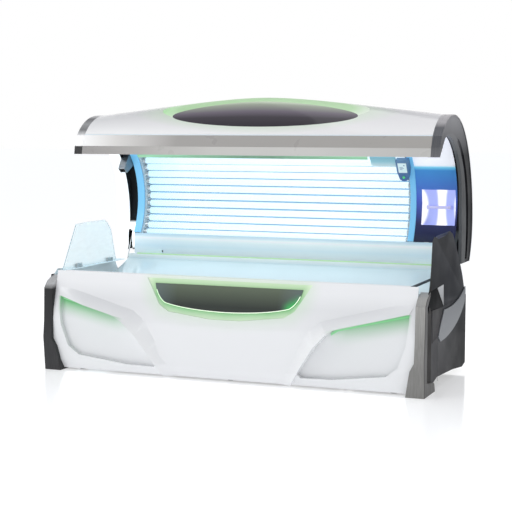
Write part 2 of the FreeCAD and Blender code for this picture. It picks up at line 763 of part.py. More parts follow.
prism_x("bench_front_rim", [
    (f"{FRONT} + hood_lean + panel_wall + seat_gap", "rim_height - 9"),
    (f"-{TROUGH_MIDDLE} - {TROUGH_WIDTH} / 2 - acrylic_wall / 2 - seat_gap", "rim_height - 9"),
    (f"-{TROUGH_MIDDLE} - {TROUGH_WIDTH} / 2 - acrylic_wall / 2 - seat_gap", "rim_height + 3"),
    (f"{FRONT} + hood_lean + panel_wall + seat_gap + 3", "rim_height + 3"),
    (f"{FRONT} + hood_lean + panel_wall + seat_gap", "rim_height")], f"-{TROUGH_LENGTH} / 2", TROUGH_LENGTH)
prism_x("bench_rear_rim", [
    (f"-{TROUGH_MIDDLE} + {TROUGH_WIDTH} / 2 + acrylic_wall / 2 + seat_gap", "rim_height - 30"),
    (LEDGE_FRONT, "rim_height - 30"),
    (LEDGE_FRONT, "rim_height - cover_wall"),
    (f"{LEDGE_FRONT} + cover_wall / 2", "rim_height - cover_wall"),
    (f"{LEDGE_FRONT} + cover_wall / 2", f"{LEDGE_TOP} - cover_wall"),
    (f"{LEDGE_FRONT} + {LEDGE_WIDTH} - cover_wall / 2", f"{LEDGE_TOP} - cover_wall"),
    (f"{LEDGE_FRONT} + {LEDGE_WIDTH} - cover_wall / 2", "rim_height - cover_wall"),
    ("bench_rear - cover_wall - seat_gap", "rim_height - cover_wall"),
    ("bench_rear - cover_wall - seat_gap", "rim_height"),
    (f"{LEDGE_FRONT} + {LEDGE_WIDTH}", "rim_height"), (f"{LEDGE_FRONT} + {LEDGE_WIDTH}", LEDGE_TOP),
    (f"{LEDGE_FRONT} - cover_wall / 2", LEDGE_TOP), (f"{LEDGE_FRONT} - cover_wall", "rim_height"),
    (f"-{TROUGH_MIDDLE} + {TROUGH_WIDTH} / 2 + acrylic_wall / 2 + seat_gap", "rim_height")],
        f"-{TROUGH_LENGTH} / 2", TROUGH_LENGTH)


# ---------------------------------------------------------------- rear of the bench

def rear_panel():
    """The rear panel with a slotted grille in front of each fan."""
    width = f"(2 * ({HALF} - side_inset - cover_wall - seat_gap))"
    plate = box("rear_plate", (negative(f"{width} / 2"), "bench_rear - cover_wall", "foot_clearance - 20"),
                (width, "cover_wall", "rim_height - foot_clearance + 20"))
    slots = []
    for place in ("-fan_side", "fan_side"):
        for step in (-3, -2, -1, 0, 1, 2, 3):
            span = f"(2 * sqrt(fan_radius * fan_radius - {step * step} * 24 * 24) - 20)"
            slots.append(box(f"grille_slot_{len(slots)}",
                             (f"{place} - {span} / 2", "bench_rear - cover_wall - 1",
                              f"fan_height + {step} * 24 - 5"),
                             (span, "cover_wall + 2", "10")))
    notch = f"({SPRING_SIDE} - spring_tube - 5)"
    for side_name, side_sign in SIDES:
        slots.append(box(f"corner_notch_{side_name}",
                         (notch if side_sign > 0 else negative(HALF), "bench_rear - cover_wall - 1",
                          "rim_height - corner_notch"),
                         (f"{HALF} - {notch}", "cover_wall + 2", "corner_notch + 10")))
    slots.append(rod("inlet_hole", Vector(0, 1, 0), ("0", "bench_rear - cover_wall - 1", "140"),
                     "cover_wall + 2",
                     "inlet_radius + seat_gap"))
    return cut("rear_panel", plate, group("rear_openings", slots))


rear_panel()


def mains_inlet():
    """A threaded cable gland through the rear panel."""
    barrel = rod("inlet_barrel", Vector(0, 1, 0), ("0", "bench_rear - cover_wall - 14", "140"), "40",
                 "inlet_radius")
    nut = rod("inlet_nut", Vector(0, 1, 0), ("0", "bench_rear + seat_gap", "140"), "10", "inlet_radius + 7")
    bore = rod("inlet_bore", Vector(0, 1, 0), ("0", "bench_rear - cover_wall - 15", "140"), "42",
               "inlet_radius - 5")
    return cut("mains_inlet", joined("inlet_body", barrel, nut), bore)


mains_inlet()


def ballasts():
    """Lamp ballasts in a row on the floor bars."""
    blocks = []
    count = int(value("ballast_count"))
    for place in range(count):
        side = -1 if place < count // 2 else 1
        step = place % (count // 2)
        blocks.append(box(f"ballast_{place}",
                          (f"{side} * 300 - ballast_length / 2",
                           f"-rail_front + tube_wide + 40 + {step} * 110",
                           FRAME_TOP),
                          ("ballast_length", "ballast_width", "ballast_height")))
    return group("ballasts", blocks)


ballasts()

FAN_BACK = "(bench_rear - cover_wall - seat_gap - fan_deep)"


def fan_housings():
    """A square frame with a round throat and a hub carrier behind each grille."""
    housings = []
    for side_name, side_sign in SIDES:
        place = f"({side_sign} * fan_side)"
        frame = box(f"fan_frame_{side_name}",
                    (f"{place} - fan_radius - 12", FAN_BACK, "fan_height - fan_radius - 12"),
                    ("2 * fan_radius + 24", "fan_deep", "2 * fan_radius + 24"))
        throat = rod(f"fan_throat_{side_name}", Vector(0, 1, 0), (place, f"{FAN_BACK} - 1", "fan_height"),
                     "fan_deep + 2", "fan_radius")
        spoke = box(f"fan_spoke_{side_name}", (f"{place} - fan_radius - 2", FAN_BACK, "fan_height - 5"),
                    ("2 * fan_radius + 4", "6", "10"))
        post = box(f"fan_spoke_up_{side_name}", (f"{place} - 5", FAN_BACK, "fan_height - fan_radius - 2"),
                   ("10", "6", "2 * fan_radius + 4"))
        shaft = rod(f"fan_shaft_{side_name}", Vector(0, 1, 0), (place, FAN_BACK, "fan_height"), "34", "6")
        housings.append(joined(f"fan_housing_{side_name}", cut(f"fan_ring_{side_name}", frame, throat), spoke,
                               post, shaft))
    return group("fan_housings", housings)


def fan_rotor(side, sign):
    """A hub with pitched blades that turns on the housing's shaft."""
    reach = value("fan_radius") - value("fan_tip_gap")
    back = value(FAN_BACK) + 9
    middle = Vector(sign * value("fan_side"), back, value("fan_height"))
    along = Vector(0, 1, 0)
    hub = Part.makeCylinder(26, 28, middle, along)
    hub = hub.cut(Part.makeCylinder(6 + value("pin_fit"), 30, middle - along, along))
    blade = Part.makeBox(reach - 22, 2, 40, Vector(22, -1, -20))
    blade.rotate(Vector(), Vector(1, 0, 0), 55)
    tip = Part.makeCylinder(reach, 60, Vector(0, -30, 0), along)
    shape = hub
    for step in range(int(value("fan_blades"))):
        vane = blade.common(tip)
        vane.rotate(Vector(), along, step * 360 / value("fan_blades"))
        vane.translate(middle + along * 14)
        shape = shape.fuse(vane)
    hole = Part.makeCylinder(6 + value("pin_fit"), 60, middle - along * 10, along)
    return feature(f"fan_rotor_{side}", shape.cut(hole).removeSplitter())


fan_housings()
for side_name, side_sign in SIDES:
    fan_rotor(side_name, side_sign)


# ---------------------------------------------------------------- hinges

HINGE = ("hinge_back", "hinge_height")


def hinge_brackets():
    """Two cheeks on a back plate behind each tall upright."""
    brackets = []
    cheek = [("bench_rear + seat_gap + 5", "350"), ("bench_rear + seat_gap + 5", "460"),
             ("hinge_back - 20", "hinge_height + 20"), ("hinge_back", "hinge_height + 28"),
             ("hinge_back + 20", "hinge_height + 20"), ("hinge_back + 28", "hinge_height"),
             ("hinge_back + 20", "hinge_height - 20"), ("hinge_back - 60", "420")]
    near = "(arm_wall / 2 + cheek_gap)"
    for side_name, side_sign in SIDES:
        middle = f"({side_sign} * {HINGE_SIDE})"
        plate = box(f"bracket_plate_{side_name}", (f"{middle} - 45", "bench_rear + seat_gap", "340"),
                    ("90", "6", "150"))
        inner = prism_x(f"cheek_in_{side_name}", cheek, f"{middle} - {near} - cheek_wall", "cheek_wall")
        outer = prism_x(f"cheek_out_{side_name}", cheek, f"{middle} + {near}", "cheek_wall")
        hole = rod(f"bracket_hole_{side_name}", Vector(1, 0, 0), (f"{middle} - 60", *HINGE), "120",
                   "pin_radius + pin_fit")
        brackets.append(cut(f"bracket_{side_name}", joined(f"bracket_body_{side_name}", plate, inner, outer),
                            hole))
    return group("hinge_brackets", brackets)


def hinge_pins():
    pins = []
    reach = "(arm_wall / 2 + cheek_gap + cheek_wall + seat_gap)"
    for side_name, side_sign in SIDES:
        middle = f"({side_sign} * {HINGE_SIDE})"
        shaft = rod(f"pin_shaft_{side_name}", Vector(1, 0, 0), (f"{middle} - {reach} - 5", *HINGE),
                    f"2 * {reach} + 10", "pin_radius")
        heads = [rod(f"pin_head_{side_name}_{step}", Vector(1, 0, 0), (f"{middle} + ({start})", *HINGE), "5",
                     "pin_radius + 4")
                 for step, start in enumerate((f"-{reach} - 5", reach))]
        pins.append(joined(f"pin_{side_name}", shaft, *heads))
    return group("hinge_pins", pins)


def hinge_arms():
    """Steel arms that hang on the pins and run up beside the outer ribs."""
    arm = [("hinge_back - 24", "hinge_height - 10"), ("hinge_back - 26", "hinge_height + 12"),
           ("hinge_back - 43", "hinge_height + 100"), ("hinge_back - 7", "hinge_height + 200"),
           ("hinge_back + 8", "hinge_height + 260"), ("hinge_back + 29", "hinge_height + 260"),
           ("hinge_back + 27", "hinge_height + 200"), ("hinge_back + 5", "hinge_height + 120"),
           ("hinge_back - 3", "hinge_height + 60"), ("hinge_back + 26", "hinge_height + 4"),
           ("hinge_back + 20", "hinge_height - 18"), ("hinge_back", "hinge_height - 26"),
           ("hinge_back - 18", "hinge_height - 20")]
    arms = []
    for side_name, side_sign in SIDES:
        middle = f"({side_sign} * {HINGE_SIDE})"
        plate = prism_x(f"arm_plate_{side_name}", arm, f"{middle} - arm_wall / 2", "arm_wall")
        hole = rod(f"arm_hole_{side_name}", Vector(1, 0, 0), (f"{middle} - 60", *HINGE), "120",
                   "pin_radius + pin_fit")
        arms.append(cut(f"arm_{side_name}", plate, hole))
    return group("hinge_arms", arms)


hinge_brackets()
hinge_pins()
hinge_arms()


# ---------------------------------------------------------------- canopy outline

def crown_weight(back):
    """How much of the crown's rise a point of the side outline takes."""
    offset = back - value("crown_middle")
    reach = value("crown_front") if offset < 0 else value("crown_back")
    return math.cos(math.pi / 2 * min(1, abs(offset) / reach)) ** 2


def crown_share(across):
    """How much of the crown's rise a section across the bed takes."""
    share = min(1, abs(across) / value(f"{CANOPY_LENGTH} / 2 - strip_wide"))
    blunt = 0.25
    return 1 - (math.hypot(share, blunt) - blunt) / (math.hypot(1, blunt) - blunt)


def ellipse_points(middle, level, reach, rise, first, last, steps):
    """Points of an ellipse about (middle, level) from angle first to angle last."""
    points = []
    for step in range(steps + 1):
        angle = math.radians(first + (last - first) * step / steps)
        points.append((middle + reach * math.cos(angle), level + rise * math.sin(angle)))
    return points


LIP = (-value("lip_front"), value(LIP_HEIGHT))
BROW = (LIP[0] + value("lip_lean"), LIP[1] + value("lip_rise"))
CREASE = (-value("crease_front"), LIP[1] + value("crease_rise"))
CREST_HEIGHT = LIP[1] + value("crest_rise")
SHELL_BACK = value("canopy_rear - shell_tuck")


def nose_points():
    """From the crease up to the crest."""
    middle, reach, rise = value("crest_middle"), value("nose_reach"), value("nose_drop")
    level = CREST_HEIGHT - rise
    first = 180 - math.degrees(math.acos((middle - CREASE[0]) / reach))
    return [CREASE] + ellipse_points(middle, level, reach, rise, first, 90, 7)[1:]


def back_points():
    """From behind the crest to where the shell ends."""
    middle, level = value("crest_middle"), value(WAIST_LEVEL)
    reach, rise = value("canopy_rear") - middle, CREST_HEIGHT - level
    last = math.degrees(math.acos((SHELL_BACK - middle) / reach))
    return ellipse_points(middle, level, reach, rise, 90, last, 5)[1:]


def tail_points():
    """From the end of the shell round the rear to the bottom edge."""
    middle, level = value("crest_middle"), value(WAIST_LEVEL)
    reach, rise, drop = value("canopy_rear") - middle, CREST_HEIGHT - level, value("tail_drop")
    first = math.degrees(math.acos((SHELL_BACK - middle) / reach))
    last = math.degrees(math.asin((value(CANOPY_BOTTOM) - level) / drop))
    return (ellipse_points(middle, level, reach, rise, first, 0, 6)[1:]
            + ellipse_points(middle, level, reach, drop, 0, last, 3)[1:])


def inset(points, distance):
    """The outline moved towards the inside of the canopy, mitred where it bends."""
    normals = []
    for before, after in zip(points, points[1:]):
        run, rise = after[0] - before[0], after[1] - before[1]
        length = math.hypot(run, rise)
        normals.append((rise / length, -run / length))
    moved = []
    for point, first, second in zip(points, normals[:1] + normals, normals + normals[-1:]):
        mitre = distance / (1 + first[0] * second[0] + first[1] * second[1])
        moved.append((point[0] + mitre * (first[0] + second[0]), point[1] + mitre * (first[1] + second[1])))
    return moved


def ended_at(points, level):
    """The outline with its last leg drawn on, or cut back, to a height."""
    (near, high), (far, low) = points[-2:]
    return points[:-1] + [(far + (far - near) * (level - low) / (low - high), level)]


def crowned(points, share):
    rise = value("crown_rise") * share
    return [(back, up + rise * crown_weight(back)) for back, up in points]


def at(across, point):
    return Vector(across, point[0], point[1])


def smooth_edge(across, points):
    curve = Part.BSplineCurve()
    curve.interpolate([at(across, point) for point in points])
    return curve.toShape()


def straight(first, second):
    return Part.makeLine(first, second)


def band_wire(across, outer, inner):
    """A closed section between two smooth outlines."""
    return Part.Wire([smooth_edge(across, outer), straight(at(across, outer[-1]), at(across, inner[-1])),
                      smooth_edge(across, inner[::-1]), straight(at(across, inner[0]), at(across, outer[0]))])


def crowned_band(near, far):
    """The crowned top, between two depths under its face."""
    outline = [BROW] + nose_points() + back_points() + tail_points()[:1]
    half = value(f"{CANOPY_LENGTH} / 2 - strip_wide - seat_gap")
    sections = []
    for share in (-1, -0.75, -0.5, -0.25, 0, 0.25, 0.5, 0.75, 1):
        points = crowned(outline, crown_share(share * half))
        sections.append(band_wire(share * half, inset(points, near)[1:-1], inset(points, far)[1:-1]))
    return Part.makeLoft(sections, True, False)


def upright_ellipse(name, grow):
    """An upright prism over the crown whose outline is the named ellipse, grown by a margin."""
    middle = Vector(value(f"{name}_across"), value(f"{name}_middle"), LIP[1])
    ellipse = Part.Ellipse(middle, value(f"{name}_length") / 2 + 3 * grow, value(f"{name}_width") / 2 + grow)
    return Part.Face(Part.Wire(ellipse.toShape())).extrude(Vector(0, 0, 2 * value("crest_rise")))


def canopy_top():
    """White shell with the light ring sunk behind the dark lens."""
    gap = value("seat_gap")
    band = crowned_band(0, value("cover_wall"))
    feature("canopy_shell", band.cut(upright_ellipse("glow", 0)).cut(upright_ellipse("lens", gap)))
    feature("dome_lens", band.common(upright_ellipse("lens", 0)))
    ring = band.common(upright_ellipse("glow", -gap)).cut(upright_ellipse("lens", gap))
    strip = curved_sheet("ceiling_light", f"{CANOPY_LAMP_START} - 5",
                         f"{POD_START} - nozzle_wide - 28 - ({CANOPY_LAMP_START})", TUNNEL,
                         "tunnel_radius - 6 - seat_gap", "6", "39", "41.6")
    group("canopy_light_guides", [feature("dome_ring", ring), strip])


TUNNEL = ("tunnel_middle", TUNNEL_HEIGHT)
REFLECTOR = "(tunnel_radius + acrylic_wall + 2 * lamp_air + 2 * lamp_radius)"


def tunnel_point(radius, angle):
    return (value("tunnel_middle") + radius * math.cos(math.radians(angle)),
            value(TUNNEL_HEIGHT) + radius * math.sin(math.radians(angle)))


def strip_back():
    """Where the straight lower strip of the tunnel stands."""
    return tunnel_point(value("tunnel_radius"), value("tunnel_low"))[0]


def outer_outline(distance, share=0):
    """The side outline from the lip to the bottom edge, as two straight facets and one smooth run."""
    run = crowned(nose_points() + back_points() + tail_points(), share)
    moved = inset([LIP, BROW] + run, distance)
    return moved[:3], ended_at(moved[2:], value(CANOPY_BOTTOM))


def side_face(across, facets, run, inner, inner_edges):
    """A C-shaped side face: two facets and a smooth run outside, inner edges back to the lip."""
    edges = [straight(at(across, facets[0]), at(across, facets[1])),
             straight(at(across, facets[1]), at(across, facets[2])),
             smooth_edge(across, run),
             straight(at(across, run[-1]), at(across, inner[0]))]
    edges += inner_edges + [straight(at(across, inner[-1]), at(across, facets[0]))]
    return Part.Face(Part.Wire(edges))


def canopy_section(across, outer_inset, inner_gap, rise, share=0):
    """The side face between the outer outline and the tunnel."""
    facets, run = outer_outline(outer_inset, share)
    bottom = value(CANOPY_BOTTOM) + rise
    radius = value("tunnel_radius") + inner_gap
    low, high = value("tunnel_low"), value("tunnel_high")
    arc = [tunnel_point(radius, angle) for angle in (low, (low + high) / 2, high)]
    foot = (strip_back() + inner_gap, bottom)
    knee = (strip_back() + inner_gap, arc[0][1])
    edges = [straight(at(across, foot), at(across, knee))]
    if inner_gap:
        edges.append(straight(at(across, knee), at(across, arc[0])))
    edges.append(Part.Arc(*[at(across, point) for point in arc]).toShape())
    return side_face(across, facets, ended_at(run, bottom), [foot, arc[2]], edges)


MOUTH = [(-208, 232), (-218, 379), (-225, 465), (-255, 550), (-297, 612), (-362, 675), (-435, 725),
         (-515, 752),
         (-602, 761)]
GROOVE_INNER = [(-120, 40), (-110, 120), (-107, 250), (-117, 360), (-145, 480), (-195, 580), (-265, 660),
                (-345, 718)]
GROOVE_OUTER = [(-82, 40), (-63, 120), (-55, 250), (-67, 380), (-103, 510), (-162, 610), (-240, 690),
                (-337, 743)]


def from_hinge(points):
    """Points of the end face, drawn from the hinge for a tunnel of radius 420."""
    unit = value("tunnel_radius") / 420
    return [(value("hinge_back") + unit * back, value("hinge_height") + unit * up) for back, up in points]


def rim_section(across, outer_inset):
    """The side face between the outer outline and a mouth that clears the fin when the canopy is shut."""
    facets, run = outer_outline(outer_inset)
    mouth = from_hinge(MOUTH)
    foot = (mouth[0][0], value(CANOPY_BOTTOM))
    tip = (LIP[0] + value("mouth_lip"), LIP[1])
    edges = [straight(at(across, foot), at(across, mouth[0])), smooth_edge(across, mouth),
             straight(at(across, mouth[-1]), at(across, tip))]
    return side_face(across, facets, run, [foot, tip], edges)


def canopy_strips():
    """Brushed bands that wrap both ends of the canopy from the lip to the bottom edge."""
    bands = []
    half, wide = value(CANOPY_LENGTH) / 2, value("strip_wide")
    for sign in (-1, 1):
        start = half - wide if sign > 0 else -half
        facets, run = outer_outline(0)
        inner_facets, inner_run = outer_outline(value("strip_wall"))
        wire = Part.Wire([
            straight(at(start, facets[0]), at(start, facets[1])),
                          straight(at(start, facets[1]), at(start, facets[2])),
            smooth_edge(start, run), straight(at(start, run[-1]), at(start, inner_run[-1])),
            smooth_edge(start, inner_run[::-1]),
            straight(at(start, inner_facets[2]), at(start, inner_facets[1])),
            straight(at(start, inner_facets[1]), at(start, inner_facets[0])),
            straight(at(start, inner_facets[0]), at(start, facets[0]))])
        bands.append(Part.Face(wire).extrude(Vector(wide, 0, 0)))
    return feature("canopy_strips", Part.makeCompound(bands))


def canopy_end(side, sign):
    """A tray that closes one end of the canopy: a slot for its gas spring and a broad, grooved outer rim."""
    gap, wall = value("seat_gap"), value("cover_wall")
    near = value(TUNNEL_LENGTH) / 2 + gap
    width = value(CANOPY_LENGTH) / 2 - value("strip_wall") - near
    rim_width, groove = value("mouth_deep"), value("groove_deep")
    skin = canopy_section(0, value("strip_wall") + gap, 0, 0).extrude(Vector(width, 0, 0))
    rim = rim_section(width - rim_width, value("strip_wall") + gap).extrude(Vector(rim_width, 0, 0))
    core = canopy_section(-1, value("strip_wall") + gap + wall, wall, -20).extrude(
        Vector(width - groove - wall + 1, 0, 0))
    channel = Part.Face(band_wire(width - groove, from_hinge(GROOVE_OUTER),
                                  from_hinge(GROOVE_INNER))).extrude(
        Vector(groove + 1, 0, 0))
    slot_start = value(f"{SPRING_SIDE} - eye_wide / 2") - 4 - near
    slot = Part.makeBox(value("eye_wide") + 8, value("spring_tube") * 6.5, value(SPRING_HEAD_HEIGHT) - 595,
                        Vector(slot_start, strip_back() - 20, value(CANOPY_BOTTOM) - 20))
    stud_start = value(f"{SPRING_SIDE} + eye_wide / 2 + seat_gap") - near
    stud = Part.makeCylinder(value("stud_radius"), width - groove - 1 - stud_start,
                             Vector(stud_start, value("spring_head_back"), value(SPRING_HEAD_HEIGHT)),
                             Vector(1, 0, 0))
    tray = skin.fuse(rim).cut(core).cut(channel).cut(slot).fuse(stud).removeSplitter()
    if sign < 0:
        tray = tray.mirror(Vector(0, 0, 0), Vector(1, 0, 0))
    tray.translate(Vector(sign * near, 0, 0))
    return feature(f"canopy_end_{side}", tray)


def canopy_rear_cover():
    """Dark cover from the end of the shell to the bottom, with a flange slotted for the hinges."""
    half = value(f"{CANOPY_LENGTH} / 2 - strip_wide - seat_gap")
    before, start = back_points()[-2:]
    tail = tail_points()
    share = 2 * value("seat_gap") / math.dist(start, tail[0])
    start = (start[0] + share * (tail[0][0] - start[0]), start[1] + share * (tail[0][1] - start[1]))
    outline = [start] + tail
    inner = inset([before] + outline, value("cover_wall"))[1:]
    face = Part.Face(band_wire(-half, outline, ended_at(inner, value(CANOPY_BOTTOM))))
    cover = face.extrude(Vector(2 * half, 0, 0))
    bottom, wall = value(CANOPY_BOTTOM), value("cover_wall")
    inner_half = value(TUNNEL_LENGTH) / 2
    flange_width = outline[-1][0] - strip_back() - 3.5 * wall
    flange = Part.makeBox(2 * inner_half, flange_width, wall,
                          Vector(-inner_half, outline[-1][0] - flange_width, bottom))
    cover = cover.fuse(flange)
    for sign in (-1, 1):
        cover = cover.cut(Part.makeBox(100, 200, 135,
                                       Vector(sign * value(HINGE_SIDE) - 50, 400, bottom - 30)))
    return feature("canopy_rear_cover", cover.removeSplitter())


def canopy_front_trims():
    """The dark brow facet and the pale lip with its underside."""
    half = value(f"{CANOPY_LENGTH} / 2 - strip_wide - seat_gap")
    wall, gap = value("cover_wall"), value("seat_gap")
    inner = inset([LIP, BROW] + nose_points(), wall)
    lean = (CREASE[0] - BROW[0]) / (CREASE[1] - BROW[1])
    brow_outline = [BROW, (CREASE[0] - 2 * gap * lean, CREASE[1] - 2 * gap),
                    (inner[2][0] - 2 * gap * lean, inner[2][1] - 2 * gap), inner[1]]
    feature("canopy_brow_trim",
            Part.Face(polygon([at(-half, point) for point in brow_outline])).extrude(Vector(2 * half, 0, 0)))
    slope = (BROW[0] - LIP[0]) / (BROW[1] - LIP[1])
    top = [(BROW[0] - gap * slope, BROW[1] - gap), (inner[1][0] - gap * slope, inner[1][1] - gap)]
    face = Part.Face(polygon([at(-half, point) for point in [LIP, *top, (LIP[0] + wall, LIP[1])]]))
    end = tunnel_point(value("tunnel_radius"), value("tunnel_high") + 0.6)
    reach = math.dist(LIP, end)
    along = ((end[0] - LIP[0]) / reach, (end[1] - LIP[1]) / reach)
    inner_end = (end[0] - wall * along[1], end[1] + wall * along[0])
    away = (top[1][0] - inner_end[0], top[1][1] - inner_end[1])
    share = (away[0] - away[1] * slope) / (along[0] - along[1] * slope)
    corner = (inner_end[0] + share * along[0], inner_end[1] + share * along[1])
    inner_half = value(TUNNEL_LENGTH) / 2
    under = Part.Face(polygon([at(-inner_half, point) for point in [LIP, *top, corner, inner_end,
                                                                    end]])).extrude(
        Vector(2 * inner_half, 0, 0))
    face = face.extrude(Vector(2 * half, 0, 0))
    feature("canopy_lip_trim", face.fuse(under).removeSplitter())


canopy_top()
canopy_strips()
for side_name, side_sign in SIDES:
    canopy_end(side_name, side_sign)
canopy_rear_cover()
canopy_front_trims()


# ---------------------------------------------------------------- inside the canopy

ACRYLIC_START = f"-{TUNNEL_LENGTH} / 2"
ACRYLIC_LENGTH = f"({BAY_START} - seat_gap + {TUNNEL_LENGTH} / 2)"
curved_sheet("canopy_acrylic", ACRYLIC_START, ACRYLIC_LENGTH, TUNNEL, "tunnel_radius", "acrylic_wall",
             "tunnel_low", "tunnel_high")
curved_sheet("canopy_reflector", f"{CANOPY_LAMP_START} - holder_wide",
             f"{CANOPY_LAMP_LENGTH} + 2 * holder_wide",
             TUNNEL, REFLECTOR, "sheet_wall", "tunnel_low", "reflector_high")
CANOPY_RING = "(tunnel_radius + acrylic_wall + lamp_air + lamp_radius)"
CANOPY_STEP = "((reflector_high - 5.4 - canopy_lamp_low) / (canopy_lamp_count - 1))"
lamp_fan("canopy_lamps", int(value("canopy_lamp_count")), CANOPY_LAMP_START, CANOPY_LAMP_LENGTH, TUNNEL,
         CANOPY_RING, "canopy_lamp_low", CANOPY_STEP)
group("canopy_lamp_holders", [
    curved_sheet(f"canopy_holder_{place}", start, "holder_wide - seat_gap", TUNNEL,
                 "tunnel_radius + acrylic_wall + seat_gap",
                 "2 * lamp_radius + 2 * lamp_air - 2 * seat_gap", "tunnel_low", "reflector_high")
    for place, start in enumerate((f"{CANOPY_LAMP_START} - holder_wide",
                                   f"{CANOPY_LAMP_START} + {CANOPY_LAMP_LENGTH} + seat_gap"))])
group("canopy_side_frames", [
    curved_sheet(f"side_frame_{place}", start, wide, TUNNEL, "tunnel_radius - frame_proud",
                 "frame_proud - seat_gap", "tunnel_low", "tunnel_high")
    for place, (start, wide) in enumerate(((ACRYLIC_START, "frame_wide + 12"),
                                           (f"{BAY_START} - frame_wide", "frame_wide")))])

STRIP_BACK = "(tunnel_middle + tunnel_radius * cos(tunnel_low))"
KNEE = f"({TUNNEL_HEIGHT} + (tunnel_radius + acrylic_wall) * sin(tunnel_low) - seat_gap)"
box("canopy_lower_strip", (f"-{TUNNEL_LENGTH} / 2", STRIP_BACK, CANOPY_BOTTOM),
    (TUNNEL_LENGTH, "cover_wall", f"{KNEE} - {CANOPY_BOTTOM}"))


def head_bay():
    """The blue panel of the head bay with its window, the face reflector behind it and the burner."""
    panel = curved_sheet("bay_sheet", BAY_START, f"{TUNNEL_LENGTH} / 2 - {BAY_START}", TUNNEL,
                         "tunnel_radius",
                         "cover_wall", "tunnel_low", "tunnel_high")
    window = box("bay_window", (WINDOW_START, "tunnel_middle + 200", WINDOW_LOW),
                 (f"{WINDOW_END} - {WINDOW_START}", "300", f"{WINDOW_HIGH} - {WINDOW_LOW}"))
    cut("head_bay_panel", panel, window)

    def trough(label, grow, low, tall):
        body = padded(label, "XY_Plane", [
            (f"{WINDOW_START} - {grow}", "face_mouth - 46"), (f"{WINDOW_START} - {grow}", "face_mouth"),
            (f"{WINDOW_START} + face_flare - {grow}", f"face_back + {grow}"),
            (f"{WINDOW_END} - face_flare + {grow}", f"face_back + {grow}"),
            (f"{WINDOW_END} + {grow}", "face_mouth"), (f"{WINDOW_END} + {grow}", "face_mouth - 46")], tall)
        return bind(body, Placement__Base__z=low)

    outer = trough("face_outer", "sheet_wall", f"{WINDOW_LOW} - sheet_wall",
                   f"{WINDOW_HIGH} - {WINDOW_LOW} + 2 * sheet_wall")
    inner = trough("face_inner", "0", WINDOW_LOW, f"{WINDOW_HIGH} - {WINDOW_LOW}")
    trimmer = rod("face_trimmer", Vector(1, 0, 0), (f"{WINDOW_START} - 20", *TUNNEL), "260",
                  "tunnel_radius + cover_wall + seat_gap")
    cut("facial_reflector", cut("face_walls", outer, inner), trimmer)
    level = f"({WINDOW_LOW} + {WINDOW_HIGH}) / 2"
    middle = f"({WINDOW_START} + {WINDOW_END}) / 2"
    reach = (f"(({WINDOW_END} - {WINDOW_START}) / 2 - seat_gap"
             " - face_flare / (face_back - face_mouth) * (burner_back + burner_cap - face_mouth))")
    tube = rod("burner_tube", Vector(1, 0, 0), (f"{middle} - {reach}", "burner_back", level), f"2 * {reach}",
               "burner_radius")
    caps = [rod(f"burner_cap_{place}", Vector(1, 0, 0), (start, "burner_back", level), "16", "burner_cap")
            for place, start in enumerate((f"{middle} - {reach}", f"{middle} + {reach} - 16"))]
    joined("facial_lamp", tube, *caps)


head_bay()


def on_tunnel(body, across, angle, radius):
    """Seats a body drawn in its own XY plane on the tunnel, its Z pointing at the tunnel's middle."""
    body.Placement = Placement(Vector(), Rotation(Vector(1, 0, 0), 10))
    bind(body, Placement__Base__x=across, Placement__Base__y=f"tunnel_middle + ({radius}) * cos({angle})",
         Placement__Base__z=f"{TUNNEL_HEIGHT} + ({radius}) * sin({angle})")
    return bind(body, Placement__Rotation__Angle=f"{angle} + 90")


POD_SEAT = "(tunnel_radius - frame_proud - seat_gap)"
POD_FACE = f"({POD_SEAT} - pod_deep)"
POD_MIDDLE = f"({POD_START} + pod_wide / 2)"


def control_pod():
    """A shield-shaped pod with a bore for its button and one for the nozzle's pin."""
    half_wide, half_tall = "pod_wide / 2", "pod_tall / 2"
    outline = [(negative(half_wide), half_tall), (negative(half_wide), "-8"),
               ("-26", f"12 - {half_tall}"), ("-8", negative(half_tall)), ("8", negative(half_tall)),
               ("26", f"12 - {half_tall}"), (half_wide, "-8"), (half_wide, half_tall)]
    block = on_tunnel(padded("pod_block", "XY_Plane", outline, "pod_deep + 10"), POD_MIDDLE, "pod_angle",
                      f"{POD_SEAT} + 10")
    seat = rod("pod_seat", Vector(1, 0, 0), (f"{POD_START} - 10", *TUNNEL), "pod_wide + 20", POD_SEAT)
    pod = common("pod_body", block, seat)
    well = doc.addObject("Part::Cylinder", "button_well")
    bind(well, Radius="button_radius + seat_gap", Height="pod_deep")
    on_tunnel(well, POD_MIDDLE, BUTTON_ANGLE, f"{POD_FACE} + 9")
    pin_hole = rod("nozzle_hole", Vector(1, 0, 0), (f"{POD_START} - 1", *NOZZLE_PIVOT), "31",
                   "nozzle_pin + pin_fit")
    cut("control_pod", cut("pod_with_well", pod, well), pin_hole)
    display = padded("pod_display", "XY_Plane", [
        ("-display_wide / 2", "-display_tall / 2"), ("display_wide / 2", "-display_tall / 2"),
        ("display_wide / 2", "display_tall / 2"), ("-display_wide / 2", "display_tall / 2")], "2")
    on_tunnel(display, POD_MIDDLE, "pod_angle + 4", f"{POD_FACE} * cos(4) - seat_gap")
    bind(display, Placement__Rotation__Angle="pod_angle + 90",
         Placement__Base__y=f"tunnel_middle + {POD_FACE} * cos(pod_angle) - 24 * sin(pod_angle)"
                            " - seat_gap * cos(pod_angle)",
         Placement__Base__z=f"{TUNNEL_HEIGHT} + {POD_FACE} * sin(pod_angle) + 24 * cos(pod_angle)"
                            " - seat_gap * sin(pod_angle)")
    button = doc.addObject("Part::Cylinder", "start_button")
    button.Label = "start_button"
    bind(button, Radius="button_radius", Height="9 - 2 + button_proud")
    on_tunnel(button, POD_MIDDLE, BUTTON_ANGLE, f"{POD_FACE} + 9 - 2")


